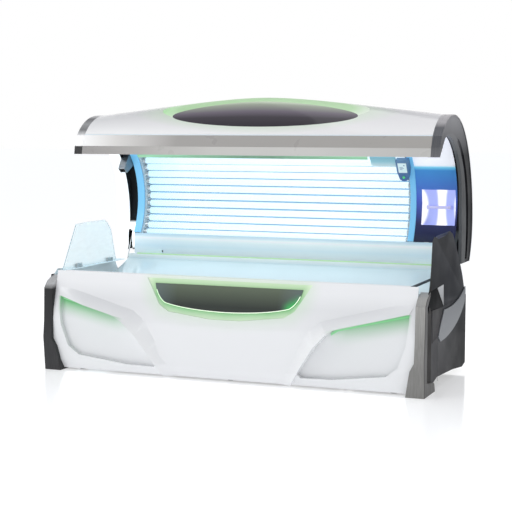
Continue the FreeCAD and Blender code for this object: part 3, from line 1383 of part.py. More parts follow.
BUTTON_ANGLE = "(pod_angle - 6.5)"
NOZZLE_ANGLE = "(pod_angle + 9)"
NOZZLE_RADIUS = f"({POD_FACE} + 22)"
NOZZLE_PIVOT = (f"tunnel_middle + {NOZZLE_RADIUS} * cos({NOZZLE_ANGLE})",
                f"{TUNNEL_HEIGHT} + {NOZZLE_RADIUS} * sin({NOZZLE_ANGLE})")


def air_nozzle():
    """A flat nozzle beside the pod, hung on a pin that enters the pod's wall."""
    end = negative("nozzle_wide / 2")
    outline = [(end, "-28"), (f"{end} + 14", "-38"), ("nozzle_wide / 2 - 6", "-38"),
               ("nozzle_wide / 2", "-30"),
               ("nozzle_wide / 2", "36"), (end, "36")]
    across = f"{POD_START} - nozzle_wide / 2 - 3"
    slab_radius = f"{NOZZLE_RADIUS} + 9"
    blade = on_tunnel(padded("nozzle_blade", "XY_Plane", outline, "18"), across, NOZZLE_ANGLE, slab_radius)
    mouth = on_tunnel(padded("nozzle_mouth", "XY_Plane", [
        (f"{end} + 10", "-60"), ("nozzle_wide / 2 - 10", "-60"), ("nozzle_wide / 2 - 10", "20"),
        (f"{end} + 10", "20")], "10"), across, NOZZLE_ANGLE, f"{slab_radius} - 4")
    pin = rod("nozzle_pin_bar", Vector(1, 0, 0), (f"{POD_START} - 12", *NOZZLE_PIVOT), "40", "nozzle_pin")
    joined("air_nozzle", cut("nozzle_shell", blade, mouth), pin)


def foot_nozzle():
    """The metal air scoop that hangs inside the foot end."""
    radius = value("tunnel_radius") - value("seat_gap")
    scoop = [tunnel_point(radius - rise, angle) for rise, angle in
             ((0, 42.5), (63, 41.8), (117, 38.8), (104, 31), (21, 30.3), (0, 31))]
    mouth = [tunnel_point(radius - rise, angle) for rise, angle in
             ((57, 40.2), (106, 38), (144, 38.1), (123, 26), (93, 32.1), (25, 31.4))]
    start = -value(f"{CANOPY_LENGTH} / 2 - strip_wall - mouth_deep - seat_gap")
    outer = Part.Face(polygon([at(start, point) for point in scoop])).extrude(Vector(46, 0, 0))
    hollow = Part.Face(polygon([at(start + 4, point) for point in mouth])).extrude(Vector(38, 0, 0))
    return feature("foot_nozzle", outer.cut(hollow))


control_pod()
air_nozzle()
foot_nozzle()


def canopy_ribs():
    """Laser-cut steel ribs between the reflector and the covers."""
    ribs = []
    wall = value("rib_wall")
    outer = value("cover_wall + 2 * seat_gap")
    gap = value(f"{REFLECTOR} + sheet_wall + seat_gap - tunnel_radius")
    nose = 1.6 * value("lip_front")
    places = [-value(HINGE_SIDE) - value("arm_wall") / 2 - value("seat_gap") - wall, -290, 290,
              value(HINGE_SIDE) + value("arm_wall") / 2 + value("seat_gap")]
    for place in places:
        plate = canopy_section(place, outer, gap, 22,
                               crown_share(abs(place) + wall)).extrude(Vector(wall, 0, 0))
        ribs.append(plate.cut(Part.makeBox(wall + 2, nose, 2 * value("tunnel_radius"),
                                           Vector(place - 1, value("tunnel_middle") - 3 - nose,
                                                  value(TUNNEL_HEIGHT) - 50))))
    return feature("canopy_ribs", Part.makeCompound(ribs))


canopy_ribs()


# ---------------------------------------------------------------- gas springs

def gas_spring(side, sign):
    """A cylinder on the bench's stud and a rod that reaches the stud of the canopy's end."""
    foot = Vector(0, value("spring_foot_back"), value("spring_foot_height"))
    head = Vector(0, value("spring_head_back"), value(SPRING_HEAD_HEIGHT))
    along = (head - foot).normalize()
    length = (head - foot).Length
    across = Vector(1, 0, 0)
    centre = Vector(sign * value(SPRING_SIDE), 0, 0)
    half_eye = value("eye_wide") / 2
    eye = value("eye_radius")
    tube, bar = value("spring_tube"), value("spring_rod")
    tube_end = value("spring_tube_length")
    wall = 1.5

    cylinder = Part.makeCylinder(tube, tube_end - eye + 2, centre + foot + along * (eye - 2), along)
    cylinder = cylinder.fuse(Part.makeCylinder(eye, 2 * half_eye, centre + foot - across * half_eye, across))
    bore_start = eye + 8
    cylinder = cylinder.cut(Part.makeCylinder(tube - wall, tube_end - 6 - bore_start,
                                              centre + foot + along * bore_start, along))
    cylinder = cylinder.cut(Part.makeCylinder(bar + value("pin_fit"), 20,
                                              centre + foot + along * (tube_end - 10),
                                              along))
    cylinder = cylinder.cut(Part.makeCylinder(value("stud_radius") + value("pin_fit"), 4 * half_eye,
                                              centre + foot - across * 2 * half_eye, across))
    feature(f"gas_cylinder_{side}", cylinder)

    rod_start = tube_end - value("piston_depth")
    rod_length = length - rod_start
    piston = Part.makeCylinder(tube - wall - value("pin_fit"), 12, centre + foot + along * rod_start, along)
    shaft = Part.makeCylinder(bar, rod_length - 4, centre + foot + along * rod_start, along)
    socket = Part.makeCylinder(eye, 2 * half_eye, centre + head - across * half_eye, across)
    feature(f"gas_rod_{side}", piston.fuse(shaft).fuse(socket).removeSplitter())


for side_name, side_sign in SIDES:
    gas_spring(side_name, side_sign)
group("spring_studs", [
    rod(f"spring_stud_{side_name}", Vector(1, 0, 0),
        (f"{SPRING_SIDE} - eye_wide / 2 - 11 + seat_gap" if side_sign > 0
         else f"-({SPRING_SIDE} + eye_wide / 2 + 3)",
         "spring_foot_back", "spring_foot_height"), "eye_wide + 14 - seat_gap", "stud_radius")
    for side_name, side_sign in SIDES])


# ---------------------------------------------------------------- check and write

NODES = """
base_rails frame_bars levelling_feet lamp_tray bench_reflector bench_lamps bench_lamp_holders bench_acrylic
bench_front_rim bench_rear_rim bench_light_guides front_panel emblem_plate front_post_left front_post_right
side_panel_left side_panel_right side_blades foot_end_cover head_fin foot_shield shield_clamps rear_panel
hinge_brackets hinge_pins ballasts fan_housings fan_rotor_left fan_rotor_right mains_inlet spring_studs
canopy_shell canopy_rear_cover canopy_brow_trim canopy_lip_trim dome_lens canopy_light_guides canopy_strips
canopy_end_left canopy_end_right canopy_ribs hinge_arms canopy_reflector canopy_lamps canopy_lamp_holders
canopy_acrylic canopy_side_frames canopy_lower_strip head_bay_panel facial_reflector facial_lamp control_pod
pod_display start_button air_nozzle foot_nozzle gas_cylinder_left gas_rod_left gas_cylinder_right gas_rod_right
""".split()

doc.recompute()
for item in doc.Objects:
    if "Invalid" in item.State or "Error" in item.State:
        raise RuntimeError(f"{item.Label} failed: {item.State}")
os.makedirs("parts", exist_ok=True)
for node in NODES:
    matches = doc.getObjectsByLabel(node)
    if len(matches) != 1:
        raise RuntimeError(f"{node}: {len(matches)} objects carry this label")
    shape = matches[0].Shape.copy()
    shape.translate(Vector(0, value("bench_front + brow_reach - canopy_rear") / 2, 0))
    if shape.isNull() or not shape.isValid() or not shape.Solids:
        raise RuntimeError(f"{node} has no sound shape")
    shape.exportStep(f"parts/{node}.step")
    extent = shape.BoundBox
    print(f"{node:22s} {len(shape.Solids):3d} solids {shape.Volume / 1e6:9.3f} l  "
          f"x {extent.XMin:8.1f} {extent.XMax:8.1f}  y {extent.YMin:7.1f} {extent.YMax:7.1f}  "
          f"z {extent.ZMin:7.1f} {extent.ZMax:7.1f}")
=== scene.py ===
"""Looks of the clamshell tanning bed: finishes, light, camera and the fine pieces over the fixed frame.

Metres throughout. +X runs towards the head end, -Y is the side a person gets in from, +Z is up.
"""
import json
import math

import bmesh
import bpy
from mathutils import Matrix, Vector


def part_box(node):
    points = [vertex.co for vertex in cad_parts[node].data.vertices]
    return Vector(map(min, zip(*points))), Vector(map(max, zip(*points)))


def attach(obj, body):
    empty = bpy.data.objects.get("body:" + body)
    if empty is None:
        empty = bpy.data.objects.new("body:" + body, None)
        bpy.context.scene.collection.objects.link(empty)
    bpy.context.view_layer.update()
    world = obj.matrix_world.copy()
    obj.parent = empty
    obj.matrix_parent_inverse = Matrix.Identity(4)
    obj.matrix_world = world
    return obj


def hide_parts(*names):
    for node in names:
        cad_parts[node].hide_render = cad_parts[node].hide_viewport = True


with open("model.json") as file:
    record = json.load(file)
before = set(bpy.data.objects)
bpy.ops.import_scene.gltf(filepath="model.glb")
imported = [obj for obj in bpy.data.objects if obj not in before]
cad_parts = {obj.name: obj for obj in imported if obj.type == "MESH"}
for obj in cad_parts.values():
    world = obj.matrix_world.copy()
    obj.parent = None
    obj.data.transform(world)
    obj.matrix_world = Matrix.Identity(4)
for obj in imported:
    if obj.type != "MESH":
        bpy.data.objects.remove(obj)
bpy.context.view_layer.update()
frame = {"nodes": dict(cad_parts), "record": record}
nodes = frame["nodes"]
scene = bpy.context.scene

# Places that finishes and pieces share. The slots and the plate are (X, Z) points of the front's right half.
SLOT_IN, SLOT_OUT = (0.613, 0.329), (1.035, 0.4285)
PLATE_TOP, PLATE_FRONT, PLATE_SLOPE = 0.53, -0.4716, 0.2577
PLATE = ((0.0, PLATE_TOP), (0.443, PLATE_TOP), (0.425, 0.472), (0.372, 0.424), (0.25, 0.402), (0.0, 0.3875))
LENS_MIDDLE, LENS_REACH = (0.018, 0.007), (0.640, 0.124)
FACE_MIDDLE, FACE_REACH = (0.934, 0.932), (0.101, 0.104)
GROOVE_MIDDLE, GROOVE_REACH = (0.050, 0.840), (0.416, 0.5286)
SIDE_FACE, SIDE_LIMIT = 1.129, 1.1348
BRACKET_SPAN, CAP_REACH = (0.842, 0.934), 0.024
LAMP_RADIUS = 0.019


# ---------------------------------------------------------------- camera, floor and studio light

def make_camera():
    turn, fall = math.radians(22.23), math.radians(5.65)
    forward = Vector((-math.sin(turn) * math.cos(fall), math.cos(turn) * math.cos(fall), -math.sin(fall)))
    data = bpy.data.cameras.new("studio_camera")
    data.lens, data.sensor_width = 93.09, 36
    data.clip_start, data.clip_end = 0.1, 100
    camera = bpy.data.objects.new("studio_camera", data)
    camera.location = (2.8818, -7.1125, 1.4143)
    camera.rotation_mode = "QUATERNION"
    camera.rotation_quaternion = forward.to_track_quat("-Z", "Y")
    scene.collection.objects.link(camera)
    scene.camera = camera


def soft_light(name, place, target, wide, tall, power):
    """A white softbox at a place, turned towards a target."""
    data = bpy.data.lights.new(name, "AREA")
    data.shape, data.size, data.size_y = "RECTANGLE", wide, tall
    data.energy = power
    light = bpy.data.objects.new(name, data)
    light.location = place
    light.rotation_mode = "QUATERNION"
    light.rotation_quaternion = (Vector(target) - Vector(place)).to_track_quat("-Z", "Y")
    scene.collection.objects.link(light)


class Nodes:
    """Adds nodes to a tree and links or sets what feeds them."""

    def __init__(self, tree):
        self.tree = tree

    def add(self, kind, feeds=None, **settings):
        node = self.tree.nodes.new("ShaderNode" + kind)
        for name, setting in settings.items():
            setattr(node, name, setting)
        self.feed(node, feeds or {})
        return node

    def feed(self, node, feeds):
        for socket, source in feeds.items():
            if isinstance(source, bpy.types.NodeSocket):
                self.tree.links.new(source, node.inputs[socket])
            else:
                node.inputs[socket].default_value = source

    def sum(self, operation, first, second=0.0, clamp=False):
        """What a Math node gives."""
        return self.add("Math", {0: first, 1: second}, operation=operation, use_clamp=clamp).outputs[0]

    def vector(self, operation, first, second=(0, 0, 0)):
        node = self.add("VectorMath", {0: first, 1: second}, operation=operation)
        return node.outputs["Value" if operation in ("DOT_PRODUCT", "LENGTH", "DISTANCE") else "Vector"]

    def mix(self, share, first, second, blend="MIX"):
        return self.add("Mix", {0: share, 6: first, 7: second}, data_type="RGBA", blend_type=blend).outputs[2]

    def span(self, number, low, high, to_low=0.0, to_high=1.0, smooth=False):
        """The number spread from one span onto another, held at both ends."""
        return self.add("MapRange", {0: number, 1: low, 2: high, 3: to_low, 4: to_high},
                        interpolation_type="SMOOTHSTEP" if smooth else "LINEAR").outputs[0]

    def place(self, stretch=(1, 1, 1)):
        """The object's own coordinates, stretched by a Mapping node."""
        spot = self.add("TexCoord").outputs["Object"]
        return self.add("Mapping", {"Vector": spot, "Scale": stretch}).outputs[0]

    def axes(self):
        """The X, Y and Z of a point of the object."""
        return self.add("SeparateXYZ", {0: self.place()}).outputs

    def facing(self):
        """The X, Y and Z of the way that a face looks."""
        return self.add("SeparateXYZ", {0: self.add("NewGeometry").outputs["Normal"]}).outputs

    def noise(self, where, scale, detail=3.0, rough=0.5):
        feeds = {"Vector": where, "Scale": scale, "Detail": detail, "Roughness": rough}
        return self.add("TexNoise", feeds).outputs[0]


def rgb(code):
    """A colour code as the linear numbers that shaders take."""
    shown = [int(code[start:start + 2], 16) / 255 for start in (0, 2, 4)]
    linear = [part / 12.92 if part <= 0.04045 else ((part + 0.055) / 1.055) ** 2.4 for part in shown]
    return (*linear, 1.0)


def make_world():
    """A white room with a dark flag on the right: full white when seen, dimmer for the light it sheds."""
    world = bpy.data.worlds.new("studio")
    world.use_nodes = True
    tree = Nodes(world.node_tree)
    world.node_tree.nodes.clear()
    towards = tree.add("SeparateXYZ", {0: tree.add("TexCoord").outputs["Generated"]}).outputs
    ceiling = tree.mix(tree.span(towards["Z"], 0.25, 0.75, smooth=True), rgb("FFFFFF"), rgb("B9BCC2"))
    mirrored = tree.mix(tree.span(towards["X"], 0.35, 0.85, smooth=True), ceiling, rgb("2A2A2C"))
    rays = tree.add("LightPath")
    shown = tree.mix(rays.outputs["Is Camera Ray"], mirrored, rgb("FFFFFF"))
    strength = tree.span(rays.outputs["Is Diffuse Ray"], 0, 1, 1.0, 0.78)
    room = tree.add("Background", {"Color": shown, "Strength": strength})
    tree.tree.links.new(room.outputs[0], tree.add("OutputWorld").inputs["Surface"])
    scene.world = world


def make_floor():
    """A seamless white floor whose mirror image of the bed fades away from it."""
    shape = bmesh.new()
    bmesh.ops.create_grid(shape, x_segments=1, y_segments=1, size=60)
    mesh = bpy.data.meshes.new("floor")
    shape.to_mesh(mesh)
    shape.free()
    floor = bpy.data.objects.new("floor", mesh)
    scene.collection.objects.link(floor)
    material = bpy.data.materials.new("studio_floor")
    material.use_nodes = True
    tree = Nodes(material.node_tree)
    shader = material.node_tree.nodes["Principled BSDF"]
    beside = tree.vector("SUBTRACT", tree.vector("ABSOLUTE", tree.place()), (1.12, 0.56, 0.0))
    away = tree.vector("LENGTH", tree.vector("MAXIMUM", beside))
    tree.feed(shader, {"Base Color": rgb("F2F3F5"), "Roughness": tree.span(away, 0.0, 2.2, 0.08, 0.3),
                       "Specular IOR Level": tree.span(away, 0.2, 2.3, 0.8, 0.0),
                       "Emission Color": rgb("FFFFFF"),
                       "Emission Strength": tree.span(away, 0.0, 1.9, 0.46, 0.62)})
    mesh.materials.append(material)


scene.view_settings.view_transform = "Standard"
make_camera()
make_world()
make_floor()
soft_light("key_left", (-3.6, -4.6, 4.2), (0, 0, 0.9), wide=3.2, tall=2.4, power=75)
soft_light("top", (0.4, 0.4, 4.6), (0, 0.2, 1.0), wide=4.2, tall=2.6, power=45)
soft_light("fill_right", (4.6, -3.0, 2.6), (0.4, 0, 0.7), wide=2.2, tall=2.2, power=24)


# ---------------------------------------------------------------- effects shared by the finishes

def effect(name, inputs, outputs):
    """An empty shader group with named sockets, as (node helper, what it is given, its ending node)."""
    group = bpy.data.node_groups.new(name, "ShaderNodeTree")
    kinds = {"colour": "NodeSocketColor", "number": "NodeSocketFloat", "vector": "NodeSocketVector"}
    for direction, sockets in (("INPUT", inputs), ("OUTPUT", outputs)):
        for socket, kind in sockets.items():
            group.interface.new_socket(socket, in_out=direction, socket_type=kinds[kind])
    tree = Nodes(group)
    feeding = group.nodes.new("NodeGroupInput")
    ending = group.nodes.new("NodeGroupOutput")
    return tree, feeding.outputs, ending


def use(tree, name, **feeds):
    """Places a shared effect in a material."""
    node = tree.add("Group", node_tree=bpy.data.node_groups[name])
    tree.feed(node, {socket.replace("_", " "): source for socket, source in feeds.items()})
    return node.outputs


def make_uneven_colour():
    """The slow drift and fine specks that keep a moulded or painted colour from being flat."""
    tree, given, ending = effect("uneven colour", {"Colour": "colour", "Drift": "number", "Scale": "number"},
                                 {"Colour": "colour"})
    where = tree.place()
    slow = tree.noise(where, given["Scale"], 2.0)
    fine = tree.noise(where, 900.0, 2.0)
    share = tree.sum("ADD", tree.sum("MULTIPLY", slow, 0.8), tree.sum("MULTIPLY", fine, 0.2))
    value = tree.sum("ADD", 1.0, tree.sum("MULTIPLY", tree.sum("SUBTRACT", share, 0.5), given["Drift"]))
    shaded = tree.add("HueSaturation", {"Color": given["Colour"], "Value": value}).outputs[0]
    tree.feed(ending, {"Colour": shaded})


def make_moulded_grain():
    """Orange peel and pinhole grain of moulded plastic or powder coat."""
    tree, given, ending = effect("moulded grain", {"Scale": "number"},
                                 {"Height": "number", "Gloss": "number"})
    where = tree.place()
    peel = tree.noise(where, given["Scale"], 2.0)
    grain = tree.noise(where, tree.sum("MULTIPLY", given["Scale"], 7.0), 2.0)
    tree.feed(ending, {"Height": tree.sum("ADD", peel, tree.sum("MULTIPLY", grain, 0.35)),
                       "Gloss": tree.noise(where, 6.0, 4.0)})


def make_brushed_grain():
    """Long scratches along one direction, as on brushed metal."""
    tree, given, ending = effect("brushed grain", {"Along": "vector"},
                                 {"Height": "number", "Streak": "number"})
    spot = tree.add("TexCoord").outputs["Object"]
    drawn = tree.vector("MULTIPLY", spot, given["Along"])
    tree.feed(ending, {"Height": tree.noise(drawn, 1.0, 4.0, 0.7), "Streak": tree.noise(drawn, 0.35, 3.0)})


def make_line_glow():
    """How near a point lies to a lit line on either half, seen from the front: 1 on it, 0 past its reach."""
    tree, given, ending = effect("line glow", {"Start": "vector", "End": "vector", "Reach": "number"},
                                 {"Glow": "number"})
    halves = tree.vector("ABSOLUTE", tree.add("TexCoord").outputs["Object"])
    spot = tree.vector("MULTIPLY", halves, (1, 0, 1))
    run = tree.vector("SUBTRACT", given["End"], given["Start"])
    away = tree.vector("SUBTRACT", spot, given["Start"])
    forward, whole = tree.vector("DOT_PRODUCT", away, run), tree.vector("DOT_PRODUCT", run, run)
    share = tree.sum("DIVIDE", forward, whole, clamp=True)
    nearest = tree.add("VectorMath", {0: run, "Scale": share}, operation="SCALE").outputs["Vector"]
    distance = tree.vector("DISTANCE", away, nearest)
    left = tree.sum("SUBTRACT", 1.0, tree.sum("DIVIDE", distance, given["Reach"]), clamp=True)
    tree.feed(ending, {"Glow": tree.sum("POWER", left, 1.6)})


def make_slot_glow():
    """Light from the slots under the two brows: how far down from them (Drop) and how strong (Glow)."""
    tree, given, ending = effect("slot glow", {"Reach": "number"}, {"Drop": "number", "Glow": "number"})
    across, _, up = tree.axes()
    side = tree.sum("ABSOLUTE", across)
    drop = tree.sum("SUBTRACT", tree.span(side, SLOT_IN[0], SLOT_OUT[0], SLOT_IN[1], SLOT_OUT[1]), up)
    fading = tree.sum("SUBTRACT", 1.0, tree.sum("DIVIDE", drop, given["Reach"]), clamp=True)
    below = tree.span(drop, -0.006, -0.001)
    ends = tree.sum("MULTIPLY", tree.span(side, 0.60, 0.70, 0, 0.75), tree.span(side, 1.03, 1.055, 1, 0))
    stronger = tree.sum("MULTIPLY", ends, tree.span(side, 0.7, 1.0, 0.8, 1.3))
    stronger = tree.sum("MULTIPLY", stronger, tree.span(across, -0.5, 0.5, 1.45, 1.0))
    falling = tree.sum("MULTIPLY", tree.sum("POWER", fading, 1.7), below)
    tree.feed(ending, {"Drop": drop, "Glow": tree.sum("MULTIPLY", falling, stronger, clamp=True)})


def make_lens_ring():
    """How far out a point lies in the green ring round the dome lens: 1 on the ring's outer edge."""
    tree, _, ending = effect("lens ring", {}, {"Out": "number"})
    spot = tree.vector("SUBTRACT", tree.place(), (*LENS_MIDDLE, 0))
    scaled = tree.vector("MULTIPLY", spot, (1 / LENS_REACH[0], 1 / LENS_REACH[1], 0))
    tree.feed(ending, {"Out": tree.vector("LENGTH", scaled)})


def make_edge_wear():
    """Where a hard edge is rubbed: 1 on a worn edge, 0 on flats."""
    tree, given, ending = effect("edge wear", {"Width": "number"}, {"Worn": "number"})
    rounded = tree.add("Bevel", {"Radius": given["Width"]}, samples=4).outputs[0]
    flat = tree.add("NewGeometry").outputs["Normal"]
    turn = tree.sum("SUBTRACT", 1.0, tree.vector("DOT_PRODUCT", rounded, flat))
    patchy = tree.span(tree.noise(tree.place(), 60.0, 4.0), 0.42, 0.62)
    tree.feed(ending, {"Worn": tree.sum("MULTIPLY", tree.sum("MULTIPLY", turn, 6.0, clamp=True), patchy)})


for make in (make_uneven_colour, make_moulded_grain, make_brushed_grain, make_line_glow, make_slot_glow,
             make_lens_ring, make_edge_wear):
    make()


# ---------------------------------------------------------------- finishes

def new_finish(name, **sockets):
    """A material round one Principled shader, whose plain values are set on the shader itself."""
    material = bpy.data.materials.new(name)
    material.use_nodes = True
    tree = Nodes(material.node_tree)
    shader = material.node_tree.nodes["Principled BSDF"]
    tree.feed(shader, {socket.replace("_", " "): setting for socket, setting in sockets.items()})
    return material, tree, shader


def bumped(tree, shader, height, strength, distance=0.0004):
    bump = tree.add("Bump", {"Height": height, "Strength": strength, "Distance": distance})
    tree.feed(shader, {"Normal": bump.outputs[0]})


def toned(tree, code):
    """A colour code, or what a tone function of the tree gives."""
    return code(tree) if callable(code) else rgb(code)


def plastic(name, code, rough=0.3, drift=0.06, grain=220.0, bump=0.05, worn=None, glow=None, patchy=0.22,
            **sockets):
    """Moulded plastic: slightly uneven and finely grained, with its corners rubbed if worn."""
    material, tree, shader = new_finish(name, **sockets)
    colour = use(tree, "uneven colour", Colour=toned(tree, code), Drift=drift, Scale=2.5)["Colour"]
    grained = use(tree, "moulded grain", Scale=grain)
    if worn:
        edges = use(tree, "edge wear", Width=0.0015)["Worn"]
        colour = tree.mix(edges, colour, rgb(worn))
    gloss = tree.span(grained["Gloss"], 0.3, 0.7, rough * (1 - patchy), rough * (1 + patchy))
    tree.feed(shader, {"Base Color": colour, "Roughness": gloss})
    if glow:
        tree.feed(shader, {"Emission Color": glow(tree)})
    bumped(tree, shader, grained["Height"], bump)
    return material


def brushed(name, code, rough=0.32, along=(8, 900, 900), metal=1.0, drift=0.12, bump=0.12, **sockets):
    """Brushed or rolled metal, with its streaks along one direction."""
    material, tree, shader = new_finish(name, Metallic=metal, **sockets)
    streaks = use(tree, "brushed grain", Along=along)
    colour = use(tree, "uneven colour", Colour=toned(tree, code), Drift=drift, Scale=4.0)["Colour"]
    colour = tree.mix(tree.span(streaks["Streak"], 0.35, 0.7, 0.0, 0.22), colour, (1, 1, 1, 1), "OVERLAY")
    tree.feed(shader, {"Base Color": colour,
                       "Roughness": tree.span(streaks["Streak"], 0.3, 0.7, rough * 0.75, rough * 1.3)})
    bumped(tree, shader, streaks["Height"], bump, 0.0002)
    return material


def lit(name, code, glow, strength, **sockets):
    """A part lit from inside, a little brighter and darker along its length."""
    material, tree, shader = new_finish(name, Emission_Strength=strength, **sockets)
    spread = use(tree, "uneven colour", Colour=toned(tree, glow), Drift=0.12, Scale=5.0)["Colour"]
    body = use(tree, "uneven colour", Colour=toned(tree, code), Drift=0.05, Scale=5.0)["Colour"]
    tree.feed(shader, {"Base Color": body, "Emission Color": spread})
    grained = use(tree, "moulded grain", Scale=160.0)
    bumped(tree, shader, grained["Height"], 0.02)
    return material


def clear_sheet(name, code, alpha, rough=0.06, rim="6F98A8", rim_alpha=0.85, **sockets):
    """A thin clear sheet with faint smears in its shine, darker where it is seen through its cut edge."""
    material, tree, shader = new_finish(name, IOR=1.49, **sockets)
    smears = tree.noise(tree.place((1, 1, 3)), 9.0, 5.0)
    facing = tree.facing()["X"]
    edge = tree.span(tree.sum("ABSOLUTE", facing), 0.95, 0.5) if rim else 0.0
    colour = use(tree, "uneven colour", Colour=rgb(code), Drift=0.05, Scale=3.0)["Colour"]
    seen = tree.span(smears, 0.3, 0.7, alpha * 0.92, alpha * 1.08)
    if rim:
        colour = tree.mix(edge, colour, rgb(rim))
        seen = tree.sum("MAXIMUM", seen, tree.sum("MULTIPLY", edge, rim_alpha))
    tree.feed(shader, {"Base Color": colour, "Roughness": tree.span(smears, 0.35, 0.7, rough, rough * 2.5),
                       "Alpha": seen})
    return material


# Tones: colours that change over one piece, each a function of a material's node tree.

def ramp(number, *stops):
    """A tone that runs through colours at places along a number: stops are (place, colour code)."""
    def tone(tree):
        along = number(tree)
        colour = rgb(stops[0][1])
        for (start, _), (end, code) in zip(stops, stops[1:]):
            colour = tree.mix(tree.span(along, start, end), colour, rgb(code))
        return colour
    return tone


def by_x(tree):
    return tree.axes()[0]


def by_y(tree):
    return tree.axes()[1]


def by_z(tree):
    return tree.axes()[2]


def either(number, place, low_tone, high_tone, soft=0.004):
    """One tone below a place along a number and another above it."""
    def tone(tree):
        return tree.mix(tree.span(number(tree), place - soft, place + soft), toned(tree, low_tone),
                        toned(tree, high_tone))
    return tone


def near_plate(tree, reach, corners=PLATE):
    """The strongest glow of the dark plate's outline, mirrored on both halves."""
    strongest = 0.0
    for (across, up), (next_across, next_up) in zip(corners, corners[1:]):
        start, end = (across, 0, up), (next_across, 0, next_up)
        glow = use(tree, "line glow", Start=start, End=end, Reach=reach)["Glow"]
        strongest = tree.sum("MAXIMUM", glow, strongest)
    return strongest


def panel_tone(tree):
    """White moulding, tinted where the green lights wash over it, with painted shade that greys it down in
    the pockets.
    """
    slot = use(tree, "slot glow", Reach=0.115)["Glow"]
    halo = tree.sum("MULTIPLY", near_plate(tree, 0.125), 0.5)
    # painted shade: the moulding is greyer down in the pockets
    pocket = tree.mix(tree.span(by_y(tree), -0.575, -0.50), rgb("F6F7F8"), rgb("E9EAEC"))
    tinted = tree.mix(halo, pocket, rgb("BFE3B4"))
    return tree.mix(slot, tinted, rgb("6FB57C"))


def panel_glow(tree):
    """Painted light given as the moulding's glow: green by the slots and the plate, white near its top."""
    slot = use(tree, "slot glow", Reach=0.115)["Glow"]
    # painted light: the moulding glows white near its top
    painted_top_light = tree.mix(tree.span(by_z(tree), 0.43, 0.52), rgb("1C1C1C"), rgb("B4B4B4"))
    return tree.mix(tree.sum("MAXIMUM", slot, tree.sum("MULTIPLY", near_plate(tree, 0.11), 0.4)),
                    painted_top_light, rgb("6FC080"))


def bench_guide_tone(tree):
    """The light guides of the bench: round the plate, under the brows and along the rear ledge."""
    across, along, up = tree.axes()
    close = tree.mix(tree.span(up, 0.46, 0.53), rgb("74B877"), rgb("A9CE9E"))
    ring = tree.mix(near_plate(tree, 0.075), rgb("DDEBD3"), close)
    drop = use(tree, "slot glow", Reach=0.05)["Drop"]
    # painted shadow: the slot guide is a darker green along its top, under the brow
    slot = tree.mix(tree.span(drop, -0.004, 0.006), rgb("5B9A69"), rgb("93D8A0"))
    front = tree.mix(tree.span(tree.sum("ABSOLUTE", across), 0.54, 0.56), ring, slot)
    return tree.mix(tree.span(along, 0.0, 0.1), front, rgb("BCE3AE"))


def canopy_guide_tone(tree):
    """Green round the dome lens, paler outwards, and a quieter line along the tunnel's ceiling."""
    across, _, up = tree.axes()
    out = use(tree, "lens ring")["Out"]
    ring = tree.mix(tree.span(out, 0.84, 1.0), rgb("AFD2A4"), rgb("D9E4D4"))
    tip = tree.mix(tree.span(across, -0.50, -0.60), ring, rgb("B2E0A9"))
    middle = tree.span(tree.sum("ABSOLUTE", tree.sum("ADD", across, 0.17)), 0.1, 0.85)
    line = tree.mix(middle, rgb("7A9C80"), rgb("A6DCAE"))
    return tree.mix(tree.span(up, 1.28, 1.32), line, tip)


def shell_tone(tree):
    """White shell, with painted shade that makes it a little greyer to the right and on its crown, and a
    breath of painted green light beside the ring.
    """
    out = use(tree, "lens ring")["Out"]
    across, _, up = tree.axes()
    sides = tree.mix(tree.span(across, -0.8, 0.9), rgb("FFFFFF"), rgb("EEEDEE"))
    crown = tree.mix(tree.span(up, 1.36, 1.52), sides, rgb("D2D1D3"))
    return tree.mix(tree.span(out, 1.3, 1.0, 0.0, 0.55), crown, rgb("CFE6C8"))


def plate_tone(tree):
    """Smoked plate: painted light makes it lighter along its top; cooler at its ends, green at its lower
    right corner.
    """
    across, _, up = tree.axes()
    # painted light: the plate is lighter towards its top
    face = tree.mix(tree.span(up, 0.42, 0.53), rgb("363C38"), rgb("65705F"))
    cool = tree.mix(tree.span(tree.sum("ABSOLUTE", across), 0.30, 0.42, 0, 0.5), face, rgb("6B7A80"))
    return tree.mix(plate_end(tree), cool, rgb("3FA65A"))


def plate_end(tree):
    """Green light that creeps in over the plate's lower right corner."""
    across, _, up = tree.axes()
    low = tree.sum("MULTIPLY", tree.span(across, 0.28, 0.36), tree.span(up, 0.51, 0.45))
    return tree.sum("MULTIPLY", near_plate(tree, 0.06, PLATE[1:4]), low)


def plate_glow(tree):
    """The glow of the plate's green corner."""
    return tree.mix(plate_end(tree), rgb("000000"), rgb("2E9A4A"))


def face_tone(tree):
    """The hourglass shine of a bowed reflector: bright bands over lavender blue."""
    across, _, up = tree.axes()
    side = tree.sum("DIVIDE", tree.sum("SUBTRACT", across, FACE_MIDDLE[0]), FACE_REACH[0])
    rise = tree.sum("DIVIDE", tree.sum("SUBTRACT", up, FACE_MIDDLE[1]), FACE_REACH[1])
    waist = tree.sum("SUBTRACT", 1.0, tree.sum("MULTIPLY", rise, rise))
    tightness = tree.sum("ADD", 4.6, tree.sum("MULTIPLY", waist, 1.6))
    turns = tree.sum("MULTIPLY", tree.sum("SUBTRACT", side, 0.12), tightness)
    band = tree.span(tree.sum("COSINE", turns), -0.35, 0.75, smooth=True)
    return tree.mix(band, rgb("9CA6DE"), rgb("FDFCFF"))


def out_of_groove(tree, along, up):
    """How far out a point of an end tray lies: under 1 within its groove, over 1 outside."""
    wide = tree.sum("DIVIDE", tree.sum("SUBTRACT", along, GROOVE_MIDDLE[0]), GROOVE_REACH[0])
    tall = tree.sum("DIVIDE", tree.sum("SUBTRACT", up, GROOVE_MIDDLE[1]), GROOVE_REACH[1])
    return tree.sum("ADD", tree.sum("MULTIPLY", wide, wide), tree.sum("MULTIPLY", tall, tall))


